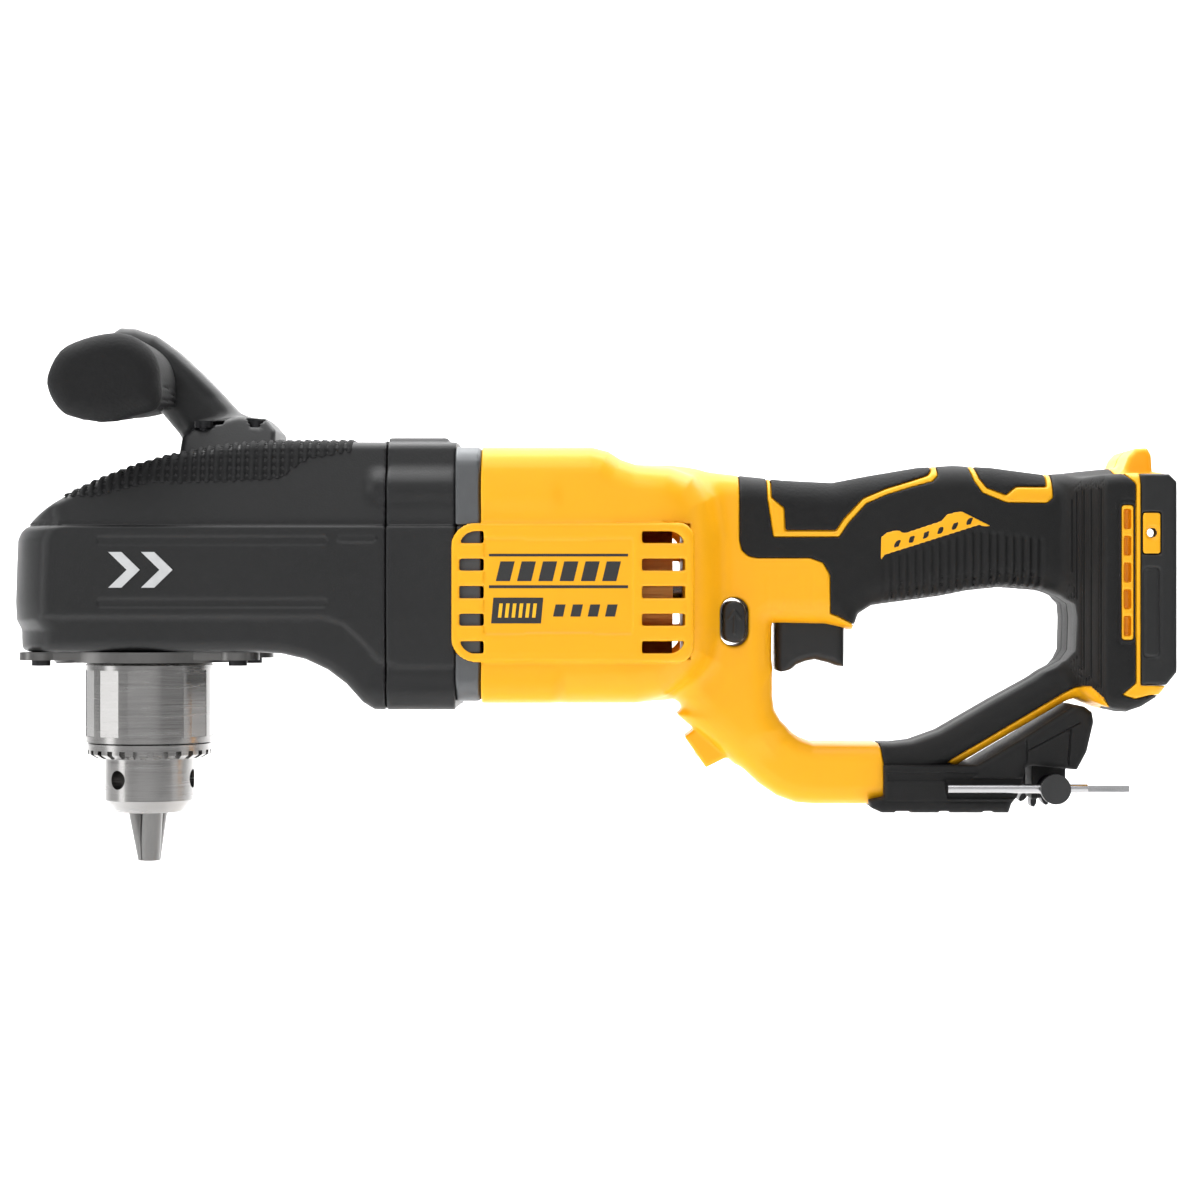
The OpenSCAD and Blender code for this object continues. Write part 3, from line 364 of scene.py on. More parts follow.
def moulded(name, colour, rough, grain_scale, grain_depth, tone=0.12, metallic=0.0, spec=0.5, coat=0.0):
    """Moulded or cast surface: fine grain, slight tone drift, brighter worn edges."""
    material, nodes, links, shader = node_tree(name)
    shader.inputs["Metallic"].default_value = metallic
    shader.inputs["Specular IOR Level"].default_value = spec
    shader.inputs["Coat Weight"].default_value = coat
    drift = add_noise(nodes, links, 14, 2)
    dark = [c * (1 - tone) for c in colour]
    light = [min(1, c * (1 + tone)) for c in colour]
    tint = ramp(nodes, links, drift.outputs["Fac"], [(0.3, dark), (0.7, light)])
    wear = nodes.new("ShaderNodeNewGeometry")
    edge = ramp(nodes, links, wear.outputs["Pointiness"], [(0.52, (0, 0, 0)), (0.60, (1, 1, 1))])
    mix = nodes.new("ShaderNodeMix")
    mix.data_type = "RGBA"
    links.new(edge.outputs["Color"], mix.inputs["Factor"])
    links.new(tint.outputs["Color"], mix.inputs["A"])
    mix.inputs["B"].default_value = tuple(min(1, c * 1.18 + 0.012) for c in colour) + (1,)
    links.new(mix.outputs["Result"], shader.inputs["Base Color"])
    vary_roughness(nodes, links, shader, add_noise(nodes, links, 60, 4), rough - 0.06, rough + 0.06)
    add_bump(nodes, links, shader, add_noise(nodes, links, grain_scale, 2), grain_depth, 0.0002)
    return material


def metal(name, colour, rough, streak=(1, 1, 1), depth=0.15, tone=0.1):
    """Turned, ground or cast metal with fine streaks along two axes."""
    material, nodes, links, shader = node_tree(name)
    shader.inputs["Metallic"].default_value = 1.0
    place = nodes.new("ShaderNodeTexCoord")
    place.name = "Place"
    stretch = nodes.new("ShaderNodeMapping")
    stretch.inputs["Scale"].default_value = streak
    links.new(place.outputs["Object"], stretch.inputs["Vector"])
    noise = nodes.new("ShaderNodeTexNoise")
    noise.inputs["Scale"].default_value = 260
    noise.inputs["Detail"].default_value = 4
    links.new(stretch.outputs["Vector"], noise.inputs["Vector"])
    dark = [c * (1 - tone) for c in colour]
    tint = ramp(nodes, links, noise.outputs["Fac"], [(0.25, dark), (0.75, colour)])
    links.new(tint.outputs["Color"], shader.inputs["Base Color"])
    vary_roughness(nodes, links, shader, noise, rough - 0.07, rough + 0.09)
    add_bump(nodes, links, shader, noise, depth, 0.00015)
    return material


CASE = moulded("case_black", (0.0105, 0.0108, 0.0115), 0.42, 1400, 0.25, spec=0.36)
RUBBER = moulded("rubber_black", (0.0075, 0.0077, 0.008), 0.6, 2200, 0.5, spec=0.26)
PAD = moulded("pad_rubber", (0.008, 0.0082, 0.0088), 0.72, 900, 1.0, spec=0.26)
YELLOW = moulded("nylon_yellow", (0.92, 0.425, 0.006), 0.38, 1700, 0.18, tone=0.03, spec=0.34)
BLACK = moulded("nylon_black", (0.011, 0.0114, 0.012), 0.4, 1600, 0.2, spec=0.4)
PLATE = metal("cast_grey", (0.145, 0.15, 0.155), 0.46, (1, 1, 1), 0.3)
STEEL = metal("turned_steel", (0.33, 0.325, 0.32), 0.24, (0.12, 0.12, 3.0), 0.2)
BASE_STEEL = metal("milled_base", (0.16, 0.158, 0.155), 0.34, (1, 1, 1), 0.3)
JAW_STEEL = metal("ground_steel", (0.17, 0.168, 0.165), 0.3, (3, 3, 0.2), 0.25)
KEY_STEEL = metal("key_steel", (0.48, 0.48, 0.49), 0.22, (0.2, 3, 3), 0.2)
GEAR_STEEL = metal("gear_steel", (0.42, 0.42, 0.43), 0.33, (1, 1, 2), 0.2)
OXIDE = metal("black_oxide", (0.035, 0.035, 0.037), 0.38, (1, 1, 1), 0.2)
LAMINATION = metal("varnished_sheets", (0.2, 0.2, 0.21), 0.45, (12, 0.3, 0.3), 0.6)
COPPER = metal("enamelled_copper", (0.62, 0.27, 0.08), 0.3, (0.3, 8, 8), 0.8)
CONTACT = metal("contact_brass", (0.8, 0.58, 0.25), 0.25, (1, 1, 3), 0.1)
MARK = metal("mark_silver", (0.78, 0.79, 0.8), 0.3, (1, 1, 1), 0.05)
BOARD = moulded("board_green", (0.02, 0.09, 0.045), 0.35, 500, 0.4)
LAMP = moulded("lamp_window", (0.85, 0.85, 0.8), 0.12, 900, 0.1, tone=0.02, coat=0.6)

# ---------------------------------------------------------------- camera, floor and light

CAMERA_Y = -1100
VIEW_CENTRE = (177.9, 102.7)

camera_data = bpy.data.cameras.new("camera")
camera_data.lens = 83.55
camera_data.sensor_width = 36
camera = bpy.data.objects.new("camera", camera_data)
bpy.context.collection.objects.link(camera)
camera.location = (VIEW_CENTRE[0] * MM, CAMERA_Y * MM, VIEW_CENTRE[1] * MM)
camera.rotation_euler = (math.radians(90), 0, 0)
bpy.context.scene.camera = camera


def area_light(name, place, target, size, power, colour=(1, 1, 1)):
    data = bpy.data.lights.new(name, "AREA")
    data.shape = "RECTANGLE"
    data.size, data.size_y = size
    data.energy = power
    data.color = colour
    light = bpy.data.objects.new(name, data)
    bpy.context.collection.objects.link(light)
    light.location = place
    light.rotation_euler = (Vector(target) - Vector(place)).to_track_quat("-Z", "Y").to_euler()
    return light


AIM = (0.17, 0, 0.1)
area_light("key_light", (-0.1, -0.5, 1.3), AIM, (1.4, 0.8), 11)
area_light("front_fill", (0.1, -1.9, 0.7), AIM, (1.8, 1.2), 5)
area_light("left_strip", (-1.1, -0.5, 0.35), AIM, (0.4, 1.2), 4)
area_light("right_strip", (1.3, -0.3, 0.5), AIM, (0.4, 1.2), 1.2)
area_light("backdrop_light", (0.17, 0.35, 1.5), (0.17, 1.5, 0.0), (3.0, 0.8), 60)
area_light("floor_light", (0.17, 0.9, 1.2), (0.17, 0.6, -0.1), (2.6, 0.9), 22)


def build_stage():
    """Pale floor that curves up into a backdrop."""
    points = []
    bend, back, width = 0.5, 1.6, 4.0
    floor_z = (cad_box[0][2]) - 0.12
    profile = [(-3.0, floor_z), (back - bend, floor_z)]
    profile += [(back - bend + bend * math.sin(a),
                 floor_z + bend - bend * math.cos(a)) for a in np.linspace(0, math.pi / 2, 16)[1:]]
    profile.append((back, 3.5))
    for y, z in profile:
        points += [(-width, y, z), (width, y, z)]
    faces = [(2 * i, 2 * i + 1, 2 * i + 3, 2 * i + 2) for i in range(len(profile) - 1)]
    mesh = bpy.data.meshes.new("floor")
    mesh.from_pydata(points, [], faces)
    mesh.polygons.foreach_set("use_smooth", [True] * len(faces))
    floor = bpy.data.objects.new("floor", mesh)
    bpy.context.collection.objects.link(floor)
    material, nodes, links, shader = node_tree("pale_floor")
    grain = add_noise(nodes, links, 40, 2)
    tint = ramp(nodes, links, grain.outputs["Fac"], [(0.2, (0.86, 0.86, 0.86)), (0.8, (0.88, 0.88, 0.88))])
    links.new(tint.outputs["Color"], shader.inputs["Base Color"])
    shader.inputs["Roughness"].default_value = 0.9
    mesh.materials.append(material)


build_stage()
world = bpy.data.worlds.new("studio")
bpy.context.scene.world = world
world.use_nodes = True
sky_nodes, sky_links = world.node_tree.nodes, world.node_tree.links
sky_place = sky_nodes.new("ShaderNodeTexCoord")
sky_axes = sky_nodes.new("ShaderNodeSeparateXYZ")
sky_links.new(sky_place.outputs["Generated"], sky_axes.inputs["Vector"])
# a paler left side and a darker right side shape the round metal
sky_tint = ramp(sky_nodes, sky_links, sky_axes.outputs["X"], [(0.0, (1, 1, 1)), (0.75, (0.35, 0.35, 0.35))])
sky_links.new(sky_tint.outputs["Color"], sky_nodes["Background"].inputs["Color"])
world.node_tree.nodes["Background"].inputs["Strength"].default_value = 0.42
bpy.context.scene.view_settings.view_transform = "Standard"

# ---------------------------------------------------------------- gear head

case_low, case_high = box_mm("gearcase_front")
rear_high = box_mm("gearcase_rear")[1]
ring_low, ring_high = box_mm("bearing_plate")
motor_low, motor_high = box_mm("housing_left")
HEAD_HALF = case_high[1]
HEAD_FLOOR = case_high[2] - 82.4
CROWN_R = 174.6
CROWN_X = 55
FRAME_BODY = "drill_frame"


def crown_height(x):
    """Height of the head's top line at a station."""
    arc = np.sqrt(np.maximum(CROWN_R ** 2 - (x - CROWN_X) ** 2, 1))
    return np.where(x < CROWN_X, case_high[2] - CROWN_R + arc, case_high[2])


def nose_radius(z):
    """Radius of the nose about the spindle at a height."""
    return np.interp(z, [80, 91, 95, 102, 112, 126, 129.5, 131, 134], [49.2, 49.4, 51.4, 51.7, 51.4, 50.9,
                                                                       49.7, 48.3, 46.9])


def head_side_outline():
    """Head in side view, open towards the bearing plate."""
    crown = [(x, float(crown_height(np.array(x)))) for x in np.linspace(-64, CROWN_X, 14)]
    floor = HEAD_FLOOR
    return [(-64, floor), (-64, crown[0][1])] + crown + [(140, case_high[2]), (140, floor - 21.7),
                                                         (91.6, floor - 21.7), (87, floor - 19.2),
                                                         (80.6, floor - 12), (73.5, floor - 6.6),
                                                         (65, floor - 2.6), (56, floor - 0.5), (48, floor)]


def head_field(g):
    px, pz = flat_axes(g)
    side = polygon_field(px, pz, head_side_outline())
    panel_edge = polygon_field(px, pz, [(-70, 96.2), (72, 96.2), (80, 93.5), (88, 86), (93, 80), (101, 77),
                                        (140, 77), (140, 131), (-70, 131)])
    y = np.abs(g.y)
    # the vertical side stands proud of the curved underside; above the shoulder the flanks lean in
    proud = ease(panel_edge, 1.6)
    flank = np.maximum(pz - 131.5, 0) * 0.27
    below = np.maximum(95.5 - pz, 0) * 0.05
    inset = (1 - proud) * 1.1 + flank + below
    body = slab(raise_flat(side), y + raise_flat(inset), HEAD_HALF, 4.5)
    rho = np.sqrt(g.x ** 2 + g.y ** 2)
    front = np.where(g.x < 0, rho - nose_radius(g.z).astype(np.float32), -20)
    body = soft_max(body, front, 3.0)
    crown = (g.z + 0.0016 * g.y ** 2 - crown_height(g.x).astype(np.float32)) * 0.94
    body = soft_max(body, crown, 3.0)
    # shoulder groove
    groove = np.abs(g.z - 131.6) - 0.55
    skin = body + 0.9
    body = cut(body, groove, -skin)
    # long shallow channels in the side panel
    for centre in ((30, 125.2), (30, 101.6)):
        channel = rect_field(px, pz, centre, (88, 3.2), 1.5)
        body = cut(body, raise_flat(channel), -(body + 0.55))
    bar = rect_field(px, pz, (85.1, 126), (15, 2.6), 1.2)
    body = np.minimum(body, np.maximum(raise_flat(bar), body - 0.5))
    # screw bosses at the rear of the head
    for z, r, x0, out in ((144.6, 9.2, 88.5, 33.8), (68.4, 7.0, 89.5, 35.2)):
        boss = np.sqrt((y - out + r - 2.5) ** 2 + (g.z - z) ** 2) - r
        cap = x0 - g.x
        boss = soft_max(boss, cap, 6.0)
        body = soft_min(body, boss, 2.2)
    # step and cap on the top
    top_cap = slab(raise_flat(rect_field(px, pz, (107.5, case_high[2] - 4), (24, 9), 1.2)), y, 24, 2.5)
    body = soft_min(body, top_cap, 0.8)
    return body


def build_head():
    low = (case_low[0] - 1.5, -HEAD_HALF - 2, HEAD_FLOOR - 24)
    high = (rear_high[0] + 1, HEAD_HALF + 2, case_high[2] + 2.5)
    g = Grid(low, high, 0.8)
    d = head_field(g)
    seam = case_high[0]
    rear = ring_low[0]
    # parting groove between the two castings
    gap = np.abs(g.x - seam) - 0.35
    d = cut(d, gap, -(d + 0.9))
    carve("gearcase_front_shell", g, np.maximum(d, g.x - seam), CASE, FRAME_BODY,
          ["gearcase_front"], thin=0.45)
    carve("gearcase_rear_shell", g, common(d, seam - g.x, g.x - rear), CASE, FRAME_BODY,
          ["gearcase_rear"], thin=0.6)
    # ribbed rubber pad over the crown
    px, pz = flat_axes(g)
    region = polygon_field(px, pz, [(-24, 142.5), (-15, 142.3), (6, 147.6), (15.4, 147.3), (40, 148.2),
                                    (55.7, 149.2), (60.3, 153), (66, 156.8), (82.6, 159.5), (84.9, 190),
                                    (-40, 190), (-40, 142.5)])
    height = 0.55 + 0.45 * np.clip(1.6 * np.cos(2 * np.pi * g.x / 3.4), -1, 1)
    pad = common(d - height, -(d + 0.6), raise_flat(region))
    clear = common(13.6 - g.x, g.x - 52.4, np.abs(g.y) - 24.4)
    pad = cut(pad, clear)
    carve("top_pad_ribbed", g, pad, PAD, FRAME_BODY, ["top_pad"], thin=0.5)


def side_prisms(name, outlines, inner, outer, caps, material):
    """Flat prisms on both sides, from inner to outer; caps lists the corners of the closing faces."""
    verts, faces = [], []
    for side in (-1, 1):
        for outline in outlines:
            n, start = len(outline), len(verts)
            verts += [(a, side * y, b) for y in (inner, outer) for a, b in outline]
            for i in range(n):
                j = (i + 1) % n
                faces.append((start + i, start + j, start + n + j, start + n + i))
            faces += [tuple(start + i for i in cap) for cap in caps]
    mesh = bpy.data.meshes.new(name)
    mesh.from_pydata([tuple(c * MM for c in v) for v in verts], [], faces)
    work = bmesh.new()
    work.from_mesh(mesh)
    bmesh.ops.recalc_face_normals(work, faces=work.faces)
    work.to_mesh(mesh)
    work.free()
    piece = bpy.data.objects.new(name, mesh)
    bpy.context.collection.objects.link(piece)
    mesh.materials.append(material)
    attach(piece, FRAME_BODY)


def build_mark():
    """Plain double chevron on each side of the head."""
    chevrons = [[(x, 121), (x + 5, 121), (x + 12, 114.2), (x + 5, 107.4), (x, 107.4),
                 (x + 7, 114.2)] for x in (-9.5, 3)]
    caps = ((6, 7, 8, 11), (8, 9, 10, 11))
    side_prisms("head_mark", chevrons, HEAD_HALF - 0.3, HEAD_HALF + 0.25, caps, MARK)


# ---------------------------------------------------------------- top handle

def build_handle():
    grip_low, grip_high = box_mm("side_handle_grip")
    middle, reach = (grip_low[1] + grip_high[1]) / 2, (grip_high[1] - grip_low[1]) / 2
    g = Grid((grip_low[0] - 2, grip_low[1] - 1, grip_low[2] - 2), (grip_high[0] + 12, grip_high[1] + 1,
                                                                   grip_high[2] + 2), 0.8)
    px, pz = flat_axes(g)
    # section in side view: full at the front, hollowed under the fingers
    section = curve([(-30.3, 186.9), (-25.4, 196.6), (-16.7, 201.1), (-7.3, 203.2), (-1, 203), (4.6, 200.7),
                     (9.4, 196.3), (11.8, 191), (12.6, 185), (12.8, 179.4), (10.4, 174.4), (2, 171.8),
                     (-5.5, 169.5), (-12.9, 168.9), (-19.2, 170.2), (-25.2, 173.9), (-29.2, 179.8)], 3)
    flat = polygon_field(px, pz, section)
    y = np.abs(g.y - middle)
    # the grip flares towards its free end and rises towards the arm
    rise = np.clip((g.y - grip_low[1] - 12) / 46, 0, 1) * 5.2
    slim = np.maximum(raise_flat(flat), 168.8 + rise + 0.9 - g.z + 0.012 * (g.x + 8) ** 2)
    d = slab(soft_max(slim, slim - 2, 1), y, reach, 8)
    d = np.maximum(d, g.z - grip_high[2] + 0.05)
    # finger ribs wrap the lower half
    low_part = np.clip((184.5 + 0.16 * g.x - g.z) / 3, 0, 1) * np.clip((reach - 7 - y) / 4, 0, 1)
    low_part = low_part * np.clip((-13 - g.y) / 3, 0, 1)
    d = d + low_part * 0.4 * (1 + np.cos(2 * np.pi * (g.z - 0.22 * g.x + 0.05 * y) / 2.3))
    neck = line_field(px, pz, [(-6, 199), (8, 196), (29, 167)], 0)
    collar = np.maximum(raise_flat(neck) - 14, np.abs(g.y) - 13.4)
    d = cut(d, collar, -(d + 1.2))
    carve("side_handle_rubber", g, d, PAD, FRAME_BODY, ["side_handle_grip"], thin=0.6)

    g = Grid((-22, -27, 150), (56, 27, 212), 0.7)
    px, pz = flat_axes(g)
    arm_side = polygon_field(px, pz, [(-6, 184), (4.1, 178.1), (12, 168.7), (15.6, 164.3), (30, 160),
                                      (46, 166), (39.7, 173.2), (35.7, 176.5), (27.8, 185.2), (19.9, 193.1),
                                      (12, 200.4), (4.1, 206.2), (-3.8, 208.9), (-9.7, 209.3), (-14, 206.4),
                                      (-16, 196)])
    flange = 0.16 * np.maximum(g.z - 182, 0)
    arm = slab(raise_flat(arm_side), np.abs(g.y) - flange, 12.0, 7.5)
    block = polygon_field(px, pz, [(14.2, 150), (52, 150), (52, 168.5), (47.5, 173.6), (37, 174.2),
                                   (22, 170.6), (15.8, 166)])
    lean = np.maximum(pz - 158, 0) * 0.45
    block = slab(raise_flat(block), np.abs(g.y) + raise_flat(lean), 24.6, 2.2)
    d = soft_min(arm, block, 4.5)
    # dark relief where the arm leaves the block
    relief = line_field(px, pz, [(22, 170.6), (31, 171.6)], 0.7)
    d = cut(d, raise_flat(relief), 10 - np.abs(g.y))
    under = g.z - crown_height(g.x[:, 0, 0])[:, None, None].astype(np.float32) + 8
    d = cut(d, under)
    spots = [(44, 15), (24, 18)]
    for sx, sy in spots:
        well = np.sqrt((g.x - sx) ** 2 + (np.abs(g.y) - sy) ** 2) - 4.0
        d = cut(d, well, 169.5 - g.z)
    carve("handle_saddle_cast", g, d, CASE, FRAME_BODY, ["handle_saddle"], thin=0.6)


# ---------------------------------------------------------------- motor housing and rear handle

MOTOR_HALF = motor_high[1] if motor_high[1] > 30 else -motor_low[1]
MOTOR_Z = 107.0
BAY_Z = (70, 151)
VENT_BACK = 213.7
BUTTON_SPOT = (230, 94.2)
HOOK_SPOT = (388.4, 128.4)
WELL_R, WELL_FLOOR = 3.5, 4
GRILLE_SPOT = (379.1, 113.2)
GRIP_HALF = box_mm("grip_pad_front")[1][1]
BAR_HALF = 16.0
rail_low, rail_high = box_mm("rail_cover_left")
DOCK_HALF = -rail_low[1]
HOUSING_X = motor_low[0] + 11.5
REAR_X = motor_high[0]
SKIN = 1.6
VENT_ROWS = [MOTOR_Z - 1.3 + k * 10.5 for k in (-2, -1, 0, 1, 2)]

OPENING = [(245.7, 65), (246.4, 60), (248.6, 56), (252.2, 52.4), (256.8, 49.2), (261.5, 47.5),
           (292.5, 47.4), (300, 48.3), (310.6, 52.1), (331.2, 64), (352.4, 75.6), (359.2, 78.9),
           (362.2, 83), (362.6, 96), (362, 101.3), (358, 104.0), (350, 105.8), (335, 107), (322, 105.6),
           (311.4, 103.5), (296, 101.4), (284.4, 99.9), (279.6, 96.8), (278.2, 92.8), (276.9, 90.0),
           (271.5, 91.4), (266, 92.6), (246, 93)]


def housing_field(g):
    """Outer skin of the housing, without cuts."""
    px, pz = flat_axes(g)
    y = np.abs(g.y)
    opening = polygon_field(px, pz, OPENING)
    top, bottom = 161.5, 63.0
    side = polygon_field(px, pz, [(100, bottom), (192, bottom), (203, 65.5), (213, 72), (221, 80),
                                  (224, 92), (224, 128), (221, 142), (214, 150.5), (205, 153.8),
                                  (192, 154.8), (186, 156.8), (181, 160), (175, top), (100, top)])
    taper = np.maximum(px - 196, 0) ** 2 * 0.010 + np.maximum(px - 172, 0) * 0.02
    motor = slab(raise_flat(side), y + raise_flat(taper), MOTOR_HALF - 1.6, 13)
    # flat shoulders with the screw bosses at the front
    for z, r, x1, out in ((143, 8.8, 162, 37.0), (70.4, 6.8, 163, 37.0)):
        boss = np.sqrt((y - out + r - 2) ** 2 + (g.z - z) ** 2) - r
        motor = soft_min(motor, soft_max(boss, g.x - x1, 5), 3)
    grip_side = polygon_field(px, pz, [(190, 67), (190, 152), (212, 153.8), (231, 151.6), (250, 149.6),
                                       (268.8, 148.7), (283, 151.4), (302, 154.6), (316, 155.4),
                                       (331, 154.6), (346, 152.6), (357, 151.2), (370, 152.6), (384, 154),
                                       (384, 74), (352, 74), (300, 86), (266, 84), (246, 42), (231, 40),
                                       (217, 54), (207, 65)])
    grip = slab(raise_flat(cut(grip_side, opening)), y, GRIP_HALF, 11)
    bar_side = polygon_field(px, pz, [(208, 58), (213.5, 53.6), (222, 47.4), (231, 39.5), (240, 31),
                                      (247, 26.2), (254.6, 23.4), (262, 22.9), (290, 22.9), (299, 26.6),
                                      (309, 33), (318, 38.4), (366, 66.5), (384, 60), (384, 86), (352, 86),
                                      (266, 80), (242, 76), (224, 64)])
    bar = slab(raise_flat(cut(bar_side, opening)), y, BAR_HALF, 8)
    nub = polygon_field(px, pz, [(211.0, 49.1), (216.4, 53.2), (226, 56), (233, 46), (231.0, 42.9),
                                 (219.4, 37.0)])
    nub = slab(raise_flat(nub), y, 9.8, 1.3)
    dock_side = polygon_field(px, pz, [(357, 79), (360, 74), (363.5, 68), (368, 63.6), (373.5, 61),
                                       (380, 60.2), (385, 61.8), (391.6, 66), (397, 72.8), (420, 90),
                                       (420, 150), (398, 149.5), (394, 151.2), (386, 151.6), (370, 150.6),
                                       (362, 149.8), (357, 149.2)])
    flare = np.maximum(371 - px, 0) * 1.7
    dock = slab(raise_flat(dock_side), y + raise_flat(flare), DOCK_HALF, 5.5)
    dock = soft_max(dock, g.x - REAR_X, 1.5)
    d = soft_min(motor, grip, 8)
    d = soft_min(d, bar, 5)
    d = soft_min(d, dock, 7)
    d = soft_max(d, -raise_flat(opening) - np.maximum(y - 12, 0) * 0.35, 3)
    d = cut(d, raise_flat(opening) + 0.3)
    d = soft_min(d, nub, 1.2)
    # battery bay between the rail covers
    bay = common(rail_low[0] - g.x, BAY_Z[0] - g.z, g.z - BAY_Z[1])
    d = cut(d, bay)
    # latch hook on top of the dock
    hook = polygon_field(px, pz, [(377.8, 150), (380.5, 153.5), (382.4, 158.5), (385, 161.4),
                                  (389.6, 161.6), (391.2, 158.8), (391.6, 152.4), (397, 151.5), (398, 150)])
    d = soft_min(d, slab(raise_flat(hook), y, 24, 2.4), 1.5)
    return np.maximum(d, g.x - REAR_X)


SCREW_SPOTS = [(228, 136), (252, 136), (304, 142), (350, 128), (228, 66), (262, 35), (330, 54.6)]
SKIN_REGION = [(232.0, 180), (232.0, 126), (232.9, 122), (235.6, 119.7), (239, 119), (259.5, 119),
               (264.5, 117.2), (267.2, 112.5), (267.5, 92), (279, 86), (284, 84), (287.5, 60),
               (286.9, 48.2), (290.6, 22), (300, 10), (420, 10), (420, 60), (398, 66), (388, 66.4),
               (382, 65), (377, 66.5), (382.4, 71), (382.4, 147), (377.5, 151.6), (376, 180)]
FRONT_POCKET = [(243.0, 142.2), (245.3, 127.2), (270.8, 127.2), (274.4, 132.6), (281.3, 140.2),
                (289.4, 143.7), (299, 146.6), (307.4, 148.9), (309.4, 151), (309.4, 175), (243, 175)]
FRONT_PAD = [(249.6, 138.4), (249.9, 129.8), (269.6, 129.8), (272.6, 134.3), (280, 142.2), (288.6, 145.9),
             (298, 148.8), (305.4, 151.2), (307, 153), (307, 175), (244.6, 175), (244.6, 142.6)]
REAR_POCKET = [(322.0, 175), (322.0, 153.6), (323.4, 149.0), (326.6, 144.4), (336, 140.6), (351.6, 140.4),
               (353.9, 142.4), (353.9, 175)]
REAR_PAD = [(324.2, 175), (324.3, 153.9), (325.6, 149.8), (328.2, 146.4), (335.6, 143.6), (339.6, 146.8),
            (351.6, 146.8), (351.6, 175)]
STRIPE = [(313.4, 39.6), (317.6, 37.3), (364.6, 64.8), (371.4, 58.0), (374.5, 60.2), (366.4, 69.4), (363, 69)]
BADGE = [(286.7, 117.9), (287.1, 127.2), (289.4, 129.1), (293.7, 129.9), (296, 128.7), (310.4, 133.4),
         (312.7, 136.1), (318.2, 137.3), (329.8, 131.5), (327.5, 131.1), (325.2, 131.8), (288.6, 120.2)]
VENT_PANEL = ((motor_low[0] + VENT_BACK) / 2, MOTOR_Z - 1.4)


